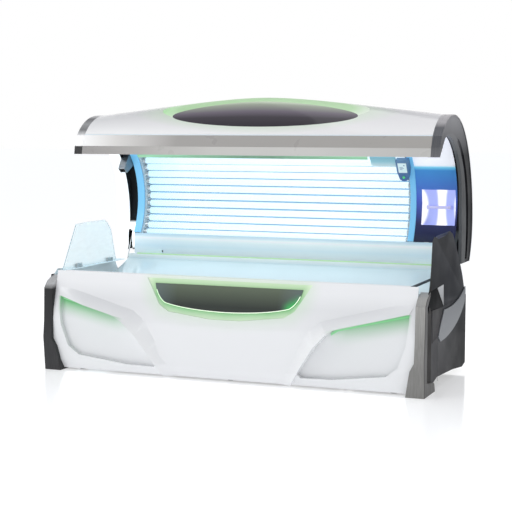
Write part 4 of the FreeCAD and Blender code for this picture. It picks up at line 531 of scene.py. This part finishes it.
def end_tone(tree):
    """End tray: a lighter band inside its groove, a darker one outside, and a pale sheen at the top."""
    _, along, up = tree.axes()
    out = out_of_groove(tree, along, up)
    bands = tree.mix(tree.span(out, 0.98, 1.02), rgb("57595B"), rgb("232427"))
    return tree.mix(tree.span(up, 1.24, 1.44), bands, rgb("98989B"))


def end_inside_painted_light(tree):
    """The inside of the foot end's tray within its groove, painted pale and glowing as painted light: 1 on
    it, 0 on the dark outer face.
    """
    _, along, up = tree.axes()
    out = out_of_groove(tree, along, up)
    facing = tree.facing()["X"]
    return tree.sum("MULTIPLY", tree.span(facing, -0.6, -0.3), tree.span(out, 1.02, 0.98))


def end_tone_painted_inside(tree):
    """The foot end's tray with its inside painted pale and glowing as painted light."""
    return tree.mix(end_inside_painted_light(tree), end_tone(tree), rgb("F4F6F7"))


# painted light: the inside of the foot end's tray glows white
def end_inside_painted_glow(tree):
    return tree.mix(end_inside_painted_light(tree), rgb("000000"), rgb("FFFFFF"))


def faces_painted_light(tree):
    """Painted light: 1 on the deck and inner wall of the foot end, painted pale and glowing, 0 on its dark
    outer face.
    """
    facing = tree.facing()
    return tree.sum("MAXIMUM", tree.span(facing["Z"], 0.6, 0.9), tree.span(facing["X"], 0.3, 0.6))


def cover_tone(tree):
    """The foot-end cover and side, with their deck and inside painted pale as painted light."""
    return tree.mix(faces_painted_light(tree), side_tone(tree), rgb("E6F3F8"))


# painted light: the deck and inside of the foot end glow pale blue
def cover_glow(tree):
    return tree.mix(faces_painted_light(tree), rgb("000000"), rgb("D6EDF6"))


# Painted light on the canopy's two brushed strips: the left one bright with painted highlights, the right one
# in painted shade, both banded with painted reflections.
left_strip_painted_light = ramp(by_z, (1.288, "2E2E2F"), (1.293, "F2F2F2"), (1.35, "F2F2F2"), (1.385, "8A8A8B"),
                  (1.42, "A9A9AA"), (1.45, "6E6E70"), (1.47, "C9C9CA"))
right_strip_painted_light = ramp(by_z, (1.2, "6E6E71"), (1.30, "5A5B5E"), (1.375, "55565A"), (1.40, "4A4B4F"),
                   (1.425, "8B898B"), (1.46, "B1AEB0"))


def side_tone(tree):
    """Charcoal side, with painted light and shade that make it paler low down by the front seam and darker to
    the rear; the fin's front edge is warmer.
    """
    _, along, up = tree.axes()
    low = tree.mix(tree.span(along, -0.22, 0.30), rgb("565658"), rgb("222326"))
    nose = tree.mix(tree.span(along, -0.24, -0.10), rgb("37393D"), rgb("303237"))
    rear = tree.mix(tree.span(along, 0.10, 0.36), nose, rgb("34363A"))
    side = tree.mix(tree.span(up, 0.34, 0.44), low, rear)
    return tree.mix(tree.span(along, -0.384, -0.390), side, rgb("383635"))


def post_tone(tree):
    """Right post: satin grey on its face, with painted light that makes it paler upwards and painted shade
    that darkens its outer side.
    """
    facing = tree.facing()["X"]
    face = tree.mix(tree.span(by_z(tree), 0.15, 0.5), rgb("7F7E7C"), rgb("9B9A97"))
    return tree.mix(tree.span(facing, 0.4, 0.9), face, rgb("2C2A29"))


DARK_SHEEN = {"Specular_IOR_Level": 0.05}
DULL_SHEEN = {"Specular_IOR_Level": 0.015}
FINISHES = {
    "frame_steel": brushed("frame_steel", "4C4E50", 0.5, (30, 300, 300), 0.6),
    "foot_rubber": plastic("foot_rubber", "141414", 0.75, 0.2, 300, 0.2),
    "tray_steel": brushed("tray_steel", "A4A6A8", 0.4, (20, 400, 400), 0.8),
    # painted light: the blue reflectors between the tubes glow with the lamps' light
    "reflector_alu": brushed("reflector_alu", "5F90B2", 0.22, (5, 600, 600), 0.4,
                             Emission_Color=rgb("5A96BE"), Emission_Strength=0.28),
    "lamp_glass": lit("lamp_glass", "9FB4BC", ramp(by_x, (-1.0, "BFE2F4"), (-0.7, "EAF4F8"), (0.2, "F6FAFB"),
                                                   (0.8, "EEF7FA")), 0.92),
    "lamp_holder_white": plastic("lamp_holder_white", "DCE6EC", 0.45, 0.06),
    "clear_acrylic": clear_sheet("clear_acrylic", "DDF3FC", 0.13, rim=None),
    # painted light: the shield glows faintly pale blue
    "shield_acrylic": clear_sheet("shield_acrylic", "F2FAFB", 0.46, Emission_Color=rgb("DDF1F6"),
                                  Emission_Strength=0.16),
    "white_gloss": plastic("white_gloss", shell_tone, 0.2, 0.02, 160, 0.02, patchy=0.05, Coat_Weight=0.25),
    "white_panel": plastic("white_panel", panel_tone, 0.26, 0.02, 160, 0.02, glow=panel_glow, patchy=0.04,
                           Emission_Strength=0.16, Coat_Weight=0.2),
    # Painted light on the brow and lip trims: the brow runs from white at its left end to grey, the lip from
    # darker at its left end to paler.
    "grey_trim": plastic("grey_trim", ramp(by_x, (-1.06, "FFFFFE"), (-0.85, "DEDCD9"), (-0.45, "A5A29F"),
                                           (0.9, "A9A6A2")),
                         0.3, 0.05, 240, 0.04),
    "lip_trim_grey": plastic("lip_trim_grey", ramp(by_x, (-1.06, "949190"), (-0.75, "A6A3A0"),
                                                   (-0.2, "C2C1BD"), (0.4, "C8C7C4"), (1.0, "BDBCB9")),
                             0.3, 0.05, 240, 0.04),
    "dark_cover": plastic("dark_cover", "36373A", 0.4, 0.1, 320, 0.12, "5A5B5E", **DARK_SHEEN),
    "side_charcoal": plastic("side_charcoal", side_tone, 0.4, 0.08, 340, 0.06, "5A5B5E", **DULL_SHEEN),
    "end_black": plastic("end_black", end_tone, 0.34, 0.1, 300, 0.08, "58595C", **DULL_SHEEN),
    "post_silver": brushed("post_silver", post_tone, 0.38, (500, 500, 10), 0.25, 0.08, 0.05,
                           Specular_IOR_Level=0.3),
    "blade_grey": brushed("blade_grey", ramp(by_z, (0.25, "898C90"), (0.45, "74777B")),
                          0.4, (10, 500, 500), 0.3, 0.06, 0.06, **DARK_SHEEN),
    "strip_grey": brushed("strip_grey", either(by_x, 0.0, left_strip_painted_light, right_strip_painted_light),
                          0.34, (1200, 20, 20), 0.35, Specular_IOR_Level=0.3),
    "emblem_dark": plastic("emblem_dark", plate_tone, 0.14, 0.06, 160, 0.02, glow=plate_glow,
                           Emission_Strength=0.5, Coat_Weight=0.4, **DARK_SHEEN),
    # painted light: the smoked lens runs from dark at its front to pale green at its back, with painted
    # reflections and the green ring's painted light
    "lens_smoke": plastic("lens_smoke", ramp(by_y, (-0.12, "37343A"), (-0.07, "4A464C"), (-0.04, "746D78"),
                                             (0.0, "A2A99B"), (0.02, "D0DCC6")),
                          0.18, 0.06, 160, 0.02, Coat_Weight=0.3, **DARK_SHEEN),
    "frame_blue": lit("frame_blue", "79BBE0", ramp(by_z, (0.73, "74B4D8"), (1.0, "559CCE"), (1.3, "64B0DA")),
                      0.4, Roughness=0.25),
    # painted highlight: a near-white band runs along the pale lower strip
    "strip_pale_blue": lit("strip_pale_blue",
                           ramp(by_z, (0.60, "E6F1F4"), (0.65, "D3E7EF"), (0.68, "E2EEF2"), (0.70, "F6F9F9"),
                                (0.715, "CFE2EC"), (0.73, "B7D6E8")),
                           ramp(by_x, (-1.0, "A5CDE4"), (0.0, "DDEBF0"), (1.0, "C0DCE8")),
                           0.15, Roughness=0.3),
    "bay_blue": lit("bay_blue",
                    ramp(by_z, (0.74, "080C30"), (0.84, "101A50"), (0.98, "3C55B4"), (1.15, "3A84C2"),
                         (1.168, "6FC4E2"), (1.182, "F4F3F8"), (1.37, "F8F6FA")),
                    ramp(by_z, (0.74, "060A2C"), (0.84, "0C1448"), (0.98, "3450B4"), (1.15, "2F7CC0"),
                         (1.168, "63C0E2"), (1.182, "EEEDF4"), (1.37, "F2F0F6")), 0.35, Roughness=0.3),
    "face_silver": lit("face_silver", face_tone, face_tone, 0.5, Roughness=0.2, Metallic=0.3),
    "pod_blue": plastic("pod_blue", ramp(by_z, (1.09, "4A6CA4"), (1.22, "6489AC")), 0.35, 0.06),
    "display_white": lit("display_white", "C9D8DA", "C4D6D8", 0.35, Roughness=0.2),
    "button_green": lit("button_green", "58C27A", "3FB866", 0.5, Roughness=0.3),
    "nozzle_aqua": plastic("nozzle_aqua", ramp(by_z, (1.17, "E6F4F6"), (1.2, "9FD0DC"), (1.24, "86BFD0")),
                           0.35, 0.05),
    "scoop_metal": brushed("scoop_metal", "85878A", 0.35, (10, 600, 600), 0.9),
    "guide_green": lit("guide_green", bench_guide_tone, bench_guide_tone, 0.16, Roughness=0.35),
    "bracket_steel": brushed("bracket_steel", "2A2B2D", 0.5, (100, 100, 100), 0.5),
    "pin_steel": brushed("pin_steel", "AEB0B2", 0.25, (900, 60, 60)),
    "spring_black": plastic("spring_black", "0E0E10", 0.22, 0.2, 300, 0.03, "2C2C2E"),
    "rod_chrome": brushed("rod_chrome", "DADCDD", 0.08, (500, 500, 20), 1.0, 0.04, 0.02),
    "fan_black": plastic("fan_black", "1B1C1E", 0.5, 0.15, 300, 0.1),
    "ballast_grey": brushed("ballast_grey", "8F9194", 0.45, (60, 300, 300), 0.5),
}
OWN_FINISHES = {
    "canopy_light_guides": lit("canopy_guide_green", canopy_guide_tone, canopy_guide_tone, 0.14,
                               Roughness=0.35),
    # painted light: the foot end's tray glows pale on its inside
    "canopy_end_left": plastic("end_painted_inside", end_tone_painted_inside, 0.34, 0.1, 300, 0.08, glow=end_inside_painted_glow,
                               Emission_Strength=0.75, **DULL_SHEEN),
    # painted light: the foot-end cover and the left side glow pale on their deck and inside
    "foot_end_cover": plastic("foot_cover", cover_tone, 0.4, 0.08, 340, 0.06, glow=cover_glow,
                              Emission_Strength=0.22, **DULL_SHEEN),
    "side_panel_left": plastic("side_painted_inside", cover_tone, 0.4, 0.08, 340, 0.06, glow=cover_glow,
                               Emission_Strength=0.22, **DULL_SHEEN),
    "hinge_brackets": brushed("bracket_sleeved", ramp(by_y, (0.445, "D3E7EF"), (0.455, "2A2B2D")), 0.5,
                              (100, 100, 100), 0.2),
    # Painted light: the left post is the right post's satin grey painted in shade, with a painted highlight
    # on its top facet.
    "front_post_left": brushed("post_shade", ramp(by_z, (0.0, "444445"), (0.47, "363637"), (0.50, "BEBEBE")),
                               0.4, (500, 500, 10), 0.2, 0.08, 0.05, **DARK_SHEEN),
    "bench_acrylic": lit("bench_acrylic_lit",
                         ramp(by_y, (-0.44, "F3F7F9"), (0.0, "E2EDF1"), (0.3, "D8E8EC")),
                         ramp(by_y, (-0.44, "F4F7F8"), (0.0, "E4EEF0"), (0.3, "D6E7EA")),
                         0.16, Roughness=0.12, Alpha=0.86),
    "bench_rear_rim": lit("ledge_lit", ramp(by_z, (0.54, "C2DCE6"), (0.575, "D6E6EA"), (0.60, "E6EDEA")),
                          ramp(by_z, (0.54, "8CC8E8"), (0.60, "B9DCEE")), 0.14, Roughness=0.25),
    "facial_lamp": lit("quartz_glass", "C9C6EA", "B9B6E4", 0.35, Roughness=0.1),
}
DETAIL_FINISHES = {
    "plate_bead": lit("bead_light", "EAF7E2", ramp(by_x, (-0.42, "9CD69A"), (-0.25, "CDEFC2"),
                                                   (0.1, "F2FCEA"), (0.35, "E4F8DC")),
                      0.5, Roughness=0.25),
    # painted shadow: the dark wedge between post and fin
    "fin_shadow_wedges": plastic("wedge_painted_shadow", "0E0F11", 0.5, 0.1, 300, 0.05, **DULL_SHEEN),
    "fin_facets": brushed("facet_grey", ramp(by_z, (0.44, "77797B"), (0.55, "A9ABAD")),
                          0.4, (10, 500, 500), 0.2),
    "side_inlays": plastic("inlay_grey", ramp(by_z, (0.27, "3A383B"), (0.44, "1E1D1F")),
                           0.45, 0.08, 300, 0.08, **DARK_SHEEN),
}


# ---------------------------------------------------------------- pieces

BODY_OF = {node: body for body, held in frame["record"]["behaviour"]["bodies"].items() for node in held}
SLOT_OF = {row["node"]: row["material_slot"] for row in frame["record"]["subparts"]}


def finish_of(node):
    return OWN_FINISHES.get(node) or FINISHES[SLOT_OF[node]]


def keep(name, shape, body, finish, stands_for=(), closed=True, sharp=38):
    """Turns a finished shape into a named piece that rides on a body."""
    if closed:
        bmesh.ops.remove_doubles(shape, verts=shape.verts, dist=1e-6)
        bmesh.ops.recalc_face_normals(shape, faces=shape.faces)
    mesh = bpy.data.meshes.new(name)
    shape.to_mesh(mesh)
    shape.free()
    mesh.shade_smooth()
    mesh.set_sharp_from_angle(angle=math.radians(sharp))
    mesh.materials.append(finish)
    piece = bpy.data.objects.new(name, mesh)
    scene.collection.objects.link(piece)
    evened = piece.modifiers.new("even_shading", "WEIGHTED_NORMAL")
    evened.keep_sharp = True
    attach(piece, body)
    if stands_for:
        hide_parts(*stands_for)


def rim_rounded(shape, radius, segments=2, hard=50):
    """Rounds every edge that turns by more than the hard angle."""
    edges = [edge for edge in shape.edges
             if len(edge.link_faces) == 2 and edge.calc_face_angle(0) > math.radians(hard)]
    bmesh.ops.bevel(shape, geom=edges, offset=radius, offset_type="OFFSET", segments=segments, profile=0.5,
                    affect="EDGES", clamp_overlap=True, material=-1)


def softened(node, radius):
    """A copy of a fixed part with its flat faces joined and its hard edges rounded, as moulded or dressed."""
    shape = bmesh.new()
    shape.from_mesh(nodes[node].data)
    bmesh.ops.remove_doubles(shape, verts=shape.verts, dist=1e-5)
    bmesh.ops.dissolve_limit(shape, angle_limit=math.radians(0.6), verts=shape.verts, edges=shape.edges)
    rim_rounded(shape, radius, hard=28)
    keep(node + "_moulded", shape, BODY_OF[node], finish_of(node), (node,), closed=False)


def pull(shape, faces, shift):
    """Gives faces a thickness by pulling them out along a shift."""
    grown = bmesh.ops.extrude_face_region(shape, geom=faces)["geom"]
    verts = [part for part in grown if isinstance(part, bmesh.types.BMVert)]
    bmesh.ops.translate(shape, verts=verts, vec=shift)


def slab(shape, outline, low, high):
    """A flat plate with an outline of (Y, Z) points between two X planes."""
    face = shape.faces.new([shape.verts.new((low, along, up)) for along, up in outline])
    pull(shape, [face], (high - low, 0, 0))


def bend(start, pull, end, steps=10):
    """Points of a curve from start to end, drawn towards a pulling point; the end is left out."""
    shares = [step / steps for step in range(steps)]
    return [tuple((1 - share) ** 2 * a + 2 * share * (1 - share) * b + share ** 2 * c
                  for a, b, c in zip(start, pull, end)) for share in shares]


def both_sides(shape):
    """Adds the mirror image on the foot-end side."""
    bmesh.ops.mirror(shape, geom=shape.verts[:] + shape.edges[:] + shape.faces[:], matrix=Matrix(),
                     merge_dist=-1.0, axis="X")


def disc(shape, spot, towards, radius, depth, sides=16):
    """A short cylinder that stands on a spot and points one way; gives back its verts."""
    turn = Vector(towards).to_track_quat("Z", "Y").to_matrix().to_4x4()
    place = Matrix.Translation(Vector(spot) + Vector(towards) * depth / 2) @ turn
    return bmesh.ops.create_cone(shape, cap_ends=True, segments=sides, radius1=radius, radius2=radius,
                                 depth=depth, matrix=place)["verts"]


def screw_head(shape, spot, towards, radius=0.004, depth=0.0022):
    """A flat round head with a sunk twelve-sided socket."""
    verts = disc(shape, spot, towards, radius, depth, 12)
    top = max((face for face in {face for vert in verts for face in vert.link_faces}),
              key=lambda face: face.calc_center_median().dot(Vector(towards)))
    bmesh.ops.inset_region(shape, faces=[top], thickness=radius * 0.5, depth=0)
    bmesh.ops.inset_region(shape, faces=[top], thickness=radius * 0.05, depth=-depth * 0.6)


ROUNDED = {
    "front_panel": 0.0022, "bench_front_rim": 0.001, "bench_rear_rim": 0.001,
    "front_post_left": 0.0035, "front_post_right": 0.0035, "side_panel_left": 0.001,
    "side_panel_right": 0.001, "foot_end_cover": 0.003, "head_fin": 0.004, "foot_shield": 0.002,
    "shield_clamps": 0.002, "rear_panel": 0.001,
    "canopy_rear_cover": 0.001, "canopy_brow_trim": 0.0008, "canopy_lip_trim": 0.0008, "dome_lens": 0.001,
    "canopy_side_frames": 0.0012, "canopy_lower_strip": 0.0009, "facial_reflector": 0.0006,
    "control_pod": 0.002, "pod_display": 0.001,
    "air_nozzle": 0.0012, "foot_nozzle": 0.0015, "hinge_arms": 0.0015, "hinge_brackets": 0.001,
    "canopy_lamp_holders": 0.0012, "bench_lamp_holders": 0.0012, "ballasts": 0.003,
}


def on_plate(across, up, proud):
    """A point on the tilted plane of the plate, a little in front of it."""
    return across, PLATE_FRONT - PLATE_SLOPE * (PLATE_TOP - up) - proud, up


def plate_face(shape, proud):
    """The plate's face: straight along its top, with rounded ends and a bowed foot."""
    half = bend((0.443, 0.5295), (0.425, 0.455), (0.372, 0.424), 8)
    half += bend((0.372, 0.424), (0.24, 0.390), (0.0, 0.3875), 12)
    outline = half + [(0.0, 0.3875)] + [(-across, up) for across, up in reversed(half)]
    return shape.faces.new([shape.verts.new(on_plate(across, up, proud)) for across, up in outline])


def make_plate():
    """The smoked plate with its bowed foot, and the bead of light that runs along that foot."""
    shape = bmesh.new()
    pull(shape, [plate_face(shape, 0.0015)], (0, 0.008, 0))
    rim_rounded(shape, 0.0012)
    keep("emblem_plate_bowed", shape, "bench", FINISHES["emblem_dark"], ("emblem_plate",))
    shape = bmesh.new()
    middle = plate_face(shape, 0.0014)
    shape.normal_update()
    rim = bmesh.ops.inset_region(shape, faces=[middle], use_boundary=True, use_even_offset=True,
                                 thickness=0.0042, depth=0)["faces"]
    spare = [face for face in rim if face.calc_center_median().z > 0.49]
    bmesh.ops.delete(shape, geom=[middle] + spare, context="FACES")
    pull(shape, shape.faces[:], (0, -0.0014, 0))
    keep("plate_bead", shape, "bench", DETAIL_FINISHES["plate_bead"])


def make_side_swooshes():
    """The pale swept blades on the two side panels."""
    shape = bmesh.new()
    outline = bend((0.352, 0.492), (0.372, 0.44), (0.330, 0.395), 4)
    outline += bend((0.330, 0.395), (0.19, 0.285), (-0.10, 0.257))
    outline += [(-0.10, 0.257), (-0.205, 0.252), (-0.253, 0.285), (-0.209, 0.343)]
    outline += bend((-0.135, 0.418), (0.17, 0.402), (0.352, 0.492))
    slab(shape, outline, SIDE_FACE, SIDE_LIMIT)
    rim_rounded(shape, 0.0015)
    both_sides(shape)
    keep("side_swooshes", shape, "bench", FINISHES["blade_grey"], ("side_blades",))


def make_side_details():
    """Dark wedge of painted shadow, pale facet, inlay, vent holes and seam behind each front post."""
    plates = {
        # painted shadow: a dark wedge where the post meets the fin
        "fin_shadow_wedges": ("end_black", 1.1305, ((-0.456, 0.548), (-0.276, 0.552), (-0.140, 0.436),
                                             (-0.386, 0.448), (-0.456, 0.474))),
        "fin_facets": ("blade_grey", 1.1315, ((-0.276, 0.552), (-0.148, 0.556), (-0.140, 0.440))),
        "side_inlays": ("side_charcoal", 1.1312, ((-0.384, 0.444), (-0.150, 0.432), (-0.222, 0.342),
                                                  (-0.262, 0.285), (-0.372, 0.268))),
    }
    for name, (slot, outer_face, outline) in plates.items():
        shape = bmesh.new()
        slab(shape, outline, SIDE_FACE, outer_face)
        rim_rounded(shape, 0.0004)
        both_sides(shape)
        keep(name, shape, "bench", DETAIL_FINISHES[name])
    vents = bmesh.new()
    for step in range(10):
        disc(vents, (SIDE_FACE, -0.256, 0.250 - step * 0.0105), (1, 0, 0), 0.0034, 0.0008, 12)
    both_sides(vents)
    keep("side_vents", vents, "bench", FINISHES["fan_black"])
    seam = bmesh.new()
    slab(seam, ((-0.2565, 0.135), (-0.2535, 0.135), (-0.2465, 0.045), (-0.2495, 0.045)), SIDE_FACE, 1.1296)
    both_sides(seam)
    keep("side_seams", seam, "bench", FINISHES["fan_black"])


def make_rear_deck():
    """The lit deck that carries the bench's rear ledge back to under the canopy."""
    low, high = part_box("bench_rear_rim")
    shape = bmesh.new()
    slab(shape, ((0.352, 0.597), (0.389, 0.597), (0.389, 0.6015), (0.352, 0.6015)), low[0], high[0])
    rim_rounded(shape, 0.0012)
    keep("rear_ledge_deck", shape, "bench", finish_of("bench_rear_rim"))


def make_lower_gasket():
    """The pale lip under the canopy's lower strip, open where the hinge brackets pass."""
    low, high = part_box("canopy_lower_strip")
    inner, outer = BRACKET_SPAN
    shape = bmesh.new()
    for start, end in ((-inner, inner), (outer, high[0]), (low[0], -outer)):
        across, wide = (start + end) / 2, end - start
        place = Matrix.Translation((across, (low[1] + high[1]) / 2, low[2] - 0.0127))
        bmesh.ops.create_cube(shape, size=1, matrix=place @ Matrix.Diagonal((wide, 0.0036, 0.0259, 1)))
    rim_rounded(shape, 0.001)
    keep("canopy_lower_gasket", shape, "canopy", FINISHES["strip_pale_blue"])


def make_bracket_caps():
    """Pale caps that stand on the rear ledge before the hinge brackets, notched for the closed canopy."""
    inner, outer = BRACKET_SPAN
    shape = bmesh.new()
    slab(shape, ((0.3605, 0.6012), (0.3855, 0.6012), (0.3855, 0.6125), (0.372, 0.617), (0.3665, 0.634),
                 (0.3605, 0.634)), inner - CAP_REACH, outer)
    rim_rounded(shape, 0.002)
    both_sides(shape)
    keep("bracket_caps", shape, "bench", FINISHES["strip_pale_blue"])


def make_lamp_caps(name, body, centre, ring, first, step, count, ends):
    """Metal caps on both ends of every tube of an arc, each with its rolled rim; angles in degrees."""
    shape = bmesh.new()
    for tube in range(count):
        angle = math.radians(first + tube * step)
        along, up = centre[0] + ring * math.cos(angle), centre[1] + ring * math.sin(angle)
        for end, towards in ((ends[0], 1), (ends[1], -1)):
            disc(shape, (end, along, up), (towards, 0, 0), LAMP_RADIUS + 0.0006, 0.022)
            disc(shape, (end + towards * 0.022, along, up), (towards, 0, 0), LAMP_RADIUS + 0.0001, 0.004)
    keep(name, shape, body, FINISHES["pin_steel"], sharp=50)


def make_display_bars():
    """Blue bars and a round mark on the small display, in its own tilted plane."""
    tilt = math.radians(32)
    inward = Vector((0, -math.cos(tilt), -math.sin(tilt)))
    rising = Vector((0, -math.sin(tilt), math.cos(tilt)))
    low, high = (Vector(corner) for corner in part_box("pod_display"))
    middle = (low + high) / 2
    face = max(vert.co.dot(inward) for vert in nodes["pod_display"].data.vertices)
    middle += inward * (face - middle.dot(inward))
    shape = bmesh.new()
    for row, (side, half) in enumerate(((-0.006, 0.010), (-0.003, 0.013), (-0.008, 0.008))):
        spot = middle + Vector((side, 0, 0)) + rising * (0.006 - row * 0.008)
        turn = Matrix((Vector((1, 0, 0)), rising, -inward)).transposed().to_4x4()
        size = Matrix.Diagonal((half * 2, 0.0028, 0.0006, 1))
        bmesh.ops.create_cube(shape, size=1, matrix=Matrix.Translation(spot) @ turn @ size)
    disc(shape, middle + rising * 0.018 + Vector((0.012, 0, 0)), inward, 0.004, 0.0004, 20)
    rim_rounded(shape, 0.0001, 1)
    keep("display_bars", shape, "canopy", FINISHES["pod_blue"])


def make_rear_screws():
    """Screws round the rear panel: five along each half of its top and bottom, two up each side."""
    _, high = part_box("rear_panel")
    shape = bmesh.new()
    spots = [(side * (0.11 + 0.215 * step), height)
             for side in (-1, 1) for step in range(5) for height in (0.060, 0.556)]
    spots += [(side * 1.108, height) for side in (-1, 1) for height in (0.2, 0.45)]
    for across, up in spots:
        screw_head(shape, (across, high[1], up), (0, 1, 0))
    keep("rear_panel_screws", shape, "bench", FINISHES["pin_steel"])


def make_crease_highlight():
    """A white bead, set as a painted highlight where the shell meets the brow."""
    low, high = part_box("canopy_brow_trim")
    shape = bmesh.new()
    slab(shape, ((-0.1585, 1.3555), (-0.1555, 1.3545), (-0.1535, 1.3605), (-0.1565, 1.3615)), low[0], high[0])
    # painted highlight along the crease
    keep("crease_highlight", shape, "canopy", FINISHES["lamp_holder_white"])


for row in frame["record"]["subparts"]:
    carried = nodes[row["node"]]
    if not carried.material_slots:
        carried.data.materials.append(finish_of(row["node"]))
    for material_slot in carried.material_slots:
        material_slot.material = finish_of(row["node"])
for rounded_node, edge_radius in ROUNDED.items():
    softened(rounded_node, edge_radius)
make_plate()
make_side_swooshes()
make_side_details()
make_rear_deck()
make_lower_gasket()
make_bracket_caps()
make_lamp_caps("canopy_lamp_caps", "canopy", centre=(0.075, 0.950), ring=0.452, first=-28.5, step=6.05,
               count=23, ends=(-0.990, 0.770))
make_lamp_caps("bench_lamp_caps", "bench", centre=(-0.065, 1.38295), ring=0.924, first=270 - 21.77,
               step=2.9027, count=16, ends=(-0.985, 0.985))
make_display_bars()
make_rear_screws()
make_crease_highlight()
